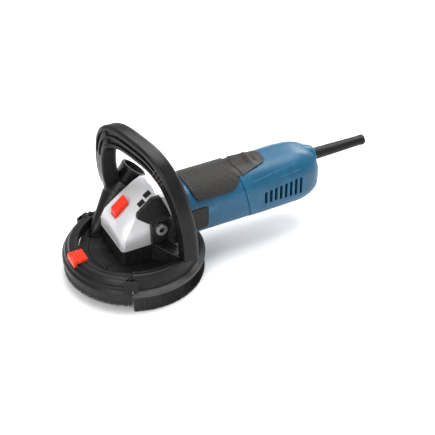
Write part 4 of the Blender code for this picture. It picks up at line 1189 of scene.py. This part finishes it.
settle(as_object("bow_grip", bow), "black_plastic", stands_for=("bow_handle",), sharp=38)
print("bow stations:", len(route), "groove points:", pushed)

# %% [markdown]
# At its far end the bow grips the duct with a round clamp band. The band has a
# shallow channel round its middle and small chamfers at both edges.

# %% Clamp band
band_rings = [duct_ring(back, radius) for back, radius in (
    (36.0, 15.1), (36.0, 17.9), (35.4, 18.6), (30.6, 18.6), (30.2, 18.0), (24.8, 18.0), (24.4, 18.6),
    (19.6, 18.6), (19.0, 17.9), (19.0, 15.1))]
settle(as_object("clamp_band", bridged(band_rings, closed=True)), "black_plastic", sharp=40)
print("clamp band rings:", len(band_rings))

# %% [markdown]
# ## Gear head details
# The die-cast head has two dark slots beside its ridge. They are cut into the
# softened casting, square to its slope, and a rubber plug sits low in each one.
# A raised ring of black plastic stands round the bracket's bolt.

# %% Plugs and bolt ring
head = bpy.data.objects["gear_housing_soft"]
slope = Matrix.Rotation(math.radians(-35.7), 4, "Y") @ Matrix.Rotation(math.radians(24.0), 4, "X")
slots = []
for i, spot in enumerate(((9.8, -12.8, 103.3), (1.4, -15.7, 96.2))):
    place = Matrix.Translation(spot) @ slope
    slots.append(cuboid((8.6, 6.0, 6.0), place))
    plug = cuboid((8.4, 5.8, 2.4), place @ Matrix.Translation((0.0, 0.0, -2.1)))
    settle(as_object("head_plug_%d" % i, plug), "rubber", edge=0.3)
carve(head, *slots)
head.data.set_sharp_from_angle(angle=SHARP_ENOUGH)
bolt_low, bolt_high = box_mm("near_bolt")
BOLT_X = (bolt_low.x + bolt_high.x) / 2
BOLT_HEIGHT = (bolt_low.z + bolt_high.z) / 2
bolt_ring = spun([(6.9, 36.0), (6.9, 37.6), (7.3, 38.2), (8.6, 38.2), (9.1, 37.6), (9.3, 36.0)],
                 (BOLT_X, 0.0, BOLT_HEIGHT), "Y", steps=48)
settle(as_object("bolt_ring", bolt_ring), "black_plastic", sharp=40)
print("bolt at", round(BOLT_X, 1), round(BOLT_HEIGHT, 1))

# %% [markdown]
# ## The pieces inside
# The working parts that the CAD model already has in full keep their own
# shapes. Each one gets the finish of its real material, since they show through
# the openings, from below and when the object is taken apart.

# %% Finishes for the CAD pieces
CAD_FINISHES = {
    "dark_steel": ("flange_screw_1", "flange_screw_2", "flange_screw_3", "flange_screw_4", "ring_gear",
                   "pinion", "armature_core", "stator"),
    "bright_steel": ("spindle_bearing", "spindle_bush", "spindle", "inner_flange", "cup_wheel",
                     "armature_shaft", "front_bearing", "rear_bearing", "near_brush_holder",
                     "far_brush_holder", "lock_spring", "hinge_pin_near", "hinge_pin_far"),
    "diamond_grit": ("diamond_ring",),
    "black_plastic": ("fan", "fan_baffle", "switch_module", "electronics_module", "cord_clamp"),
    "copper": ("front_winding", "rear_winding", "commutator", "near_field_coil", "far_field_coil"),
    "carbon": ("near_carbon_brush", "far_carbon_brush"),
}
for kind, nodes in CAD_FINISHES.items():
    for node in nodes:
        cad_piece = frame["nodes"][node]
        cad_piece.data.materials.clear()
        cad_piece.data.materials.append(FINISH[kind])
        edge = cad_piece.modifiers.new("edge", "BEVEL")
        edge.width, edge.segments, edge.limit_method = 0.15 * MM, 1, "ANGLE"
        edge.angle_limit = math.radians(35.0)
print("CAD pieces dressed:", sum(len(nodes) for nodes in CAD_FINISHES.values()))

# %% [markdown]
# ## Size
# The CAD model's box is printed once more at the end.

# %% Size
print("CAD box in mm:", [round((b - a) / MM, 1) for a, b in zip(cad_low, cad_high)])
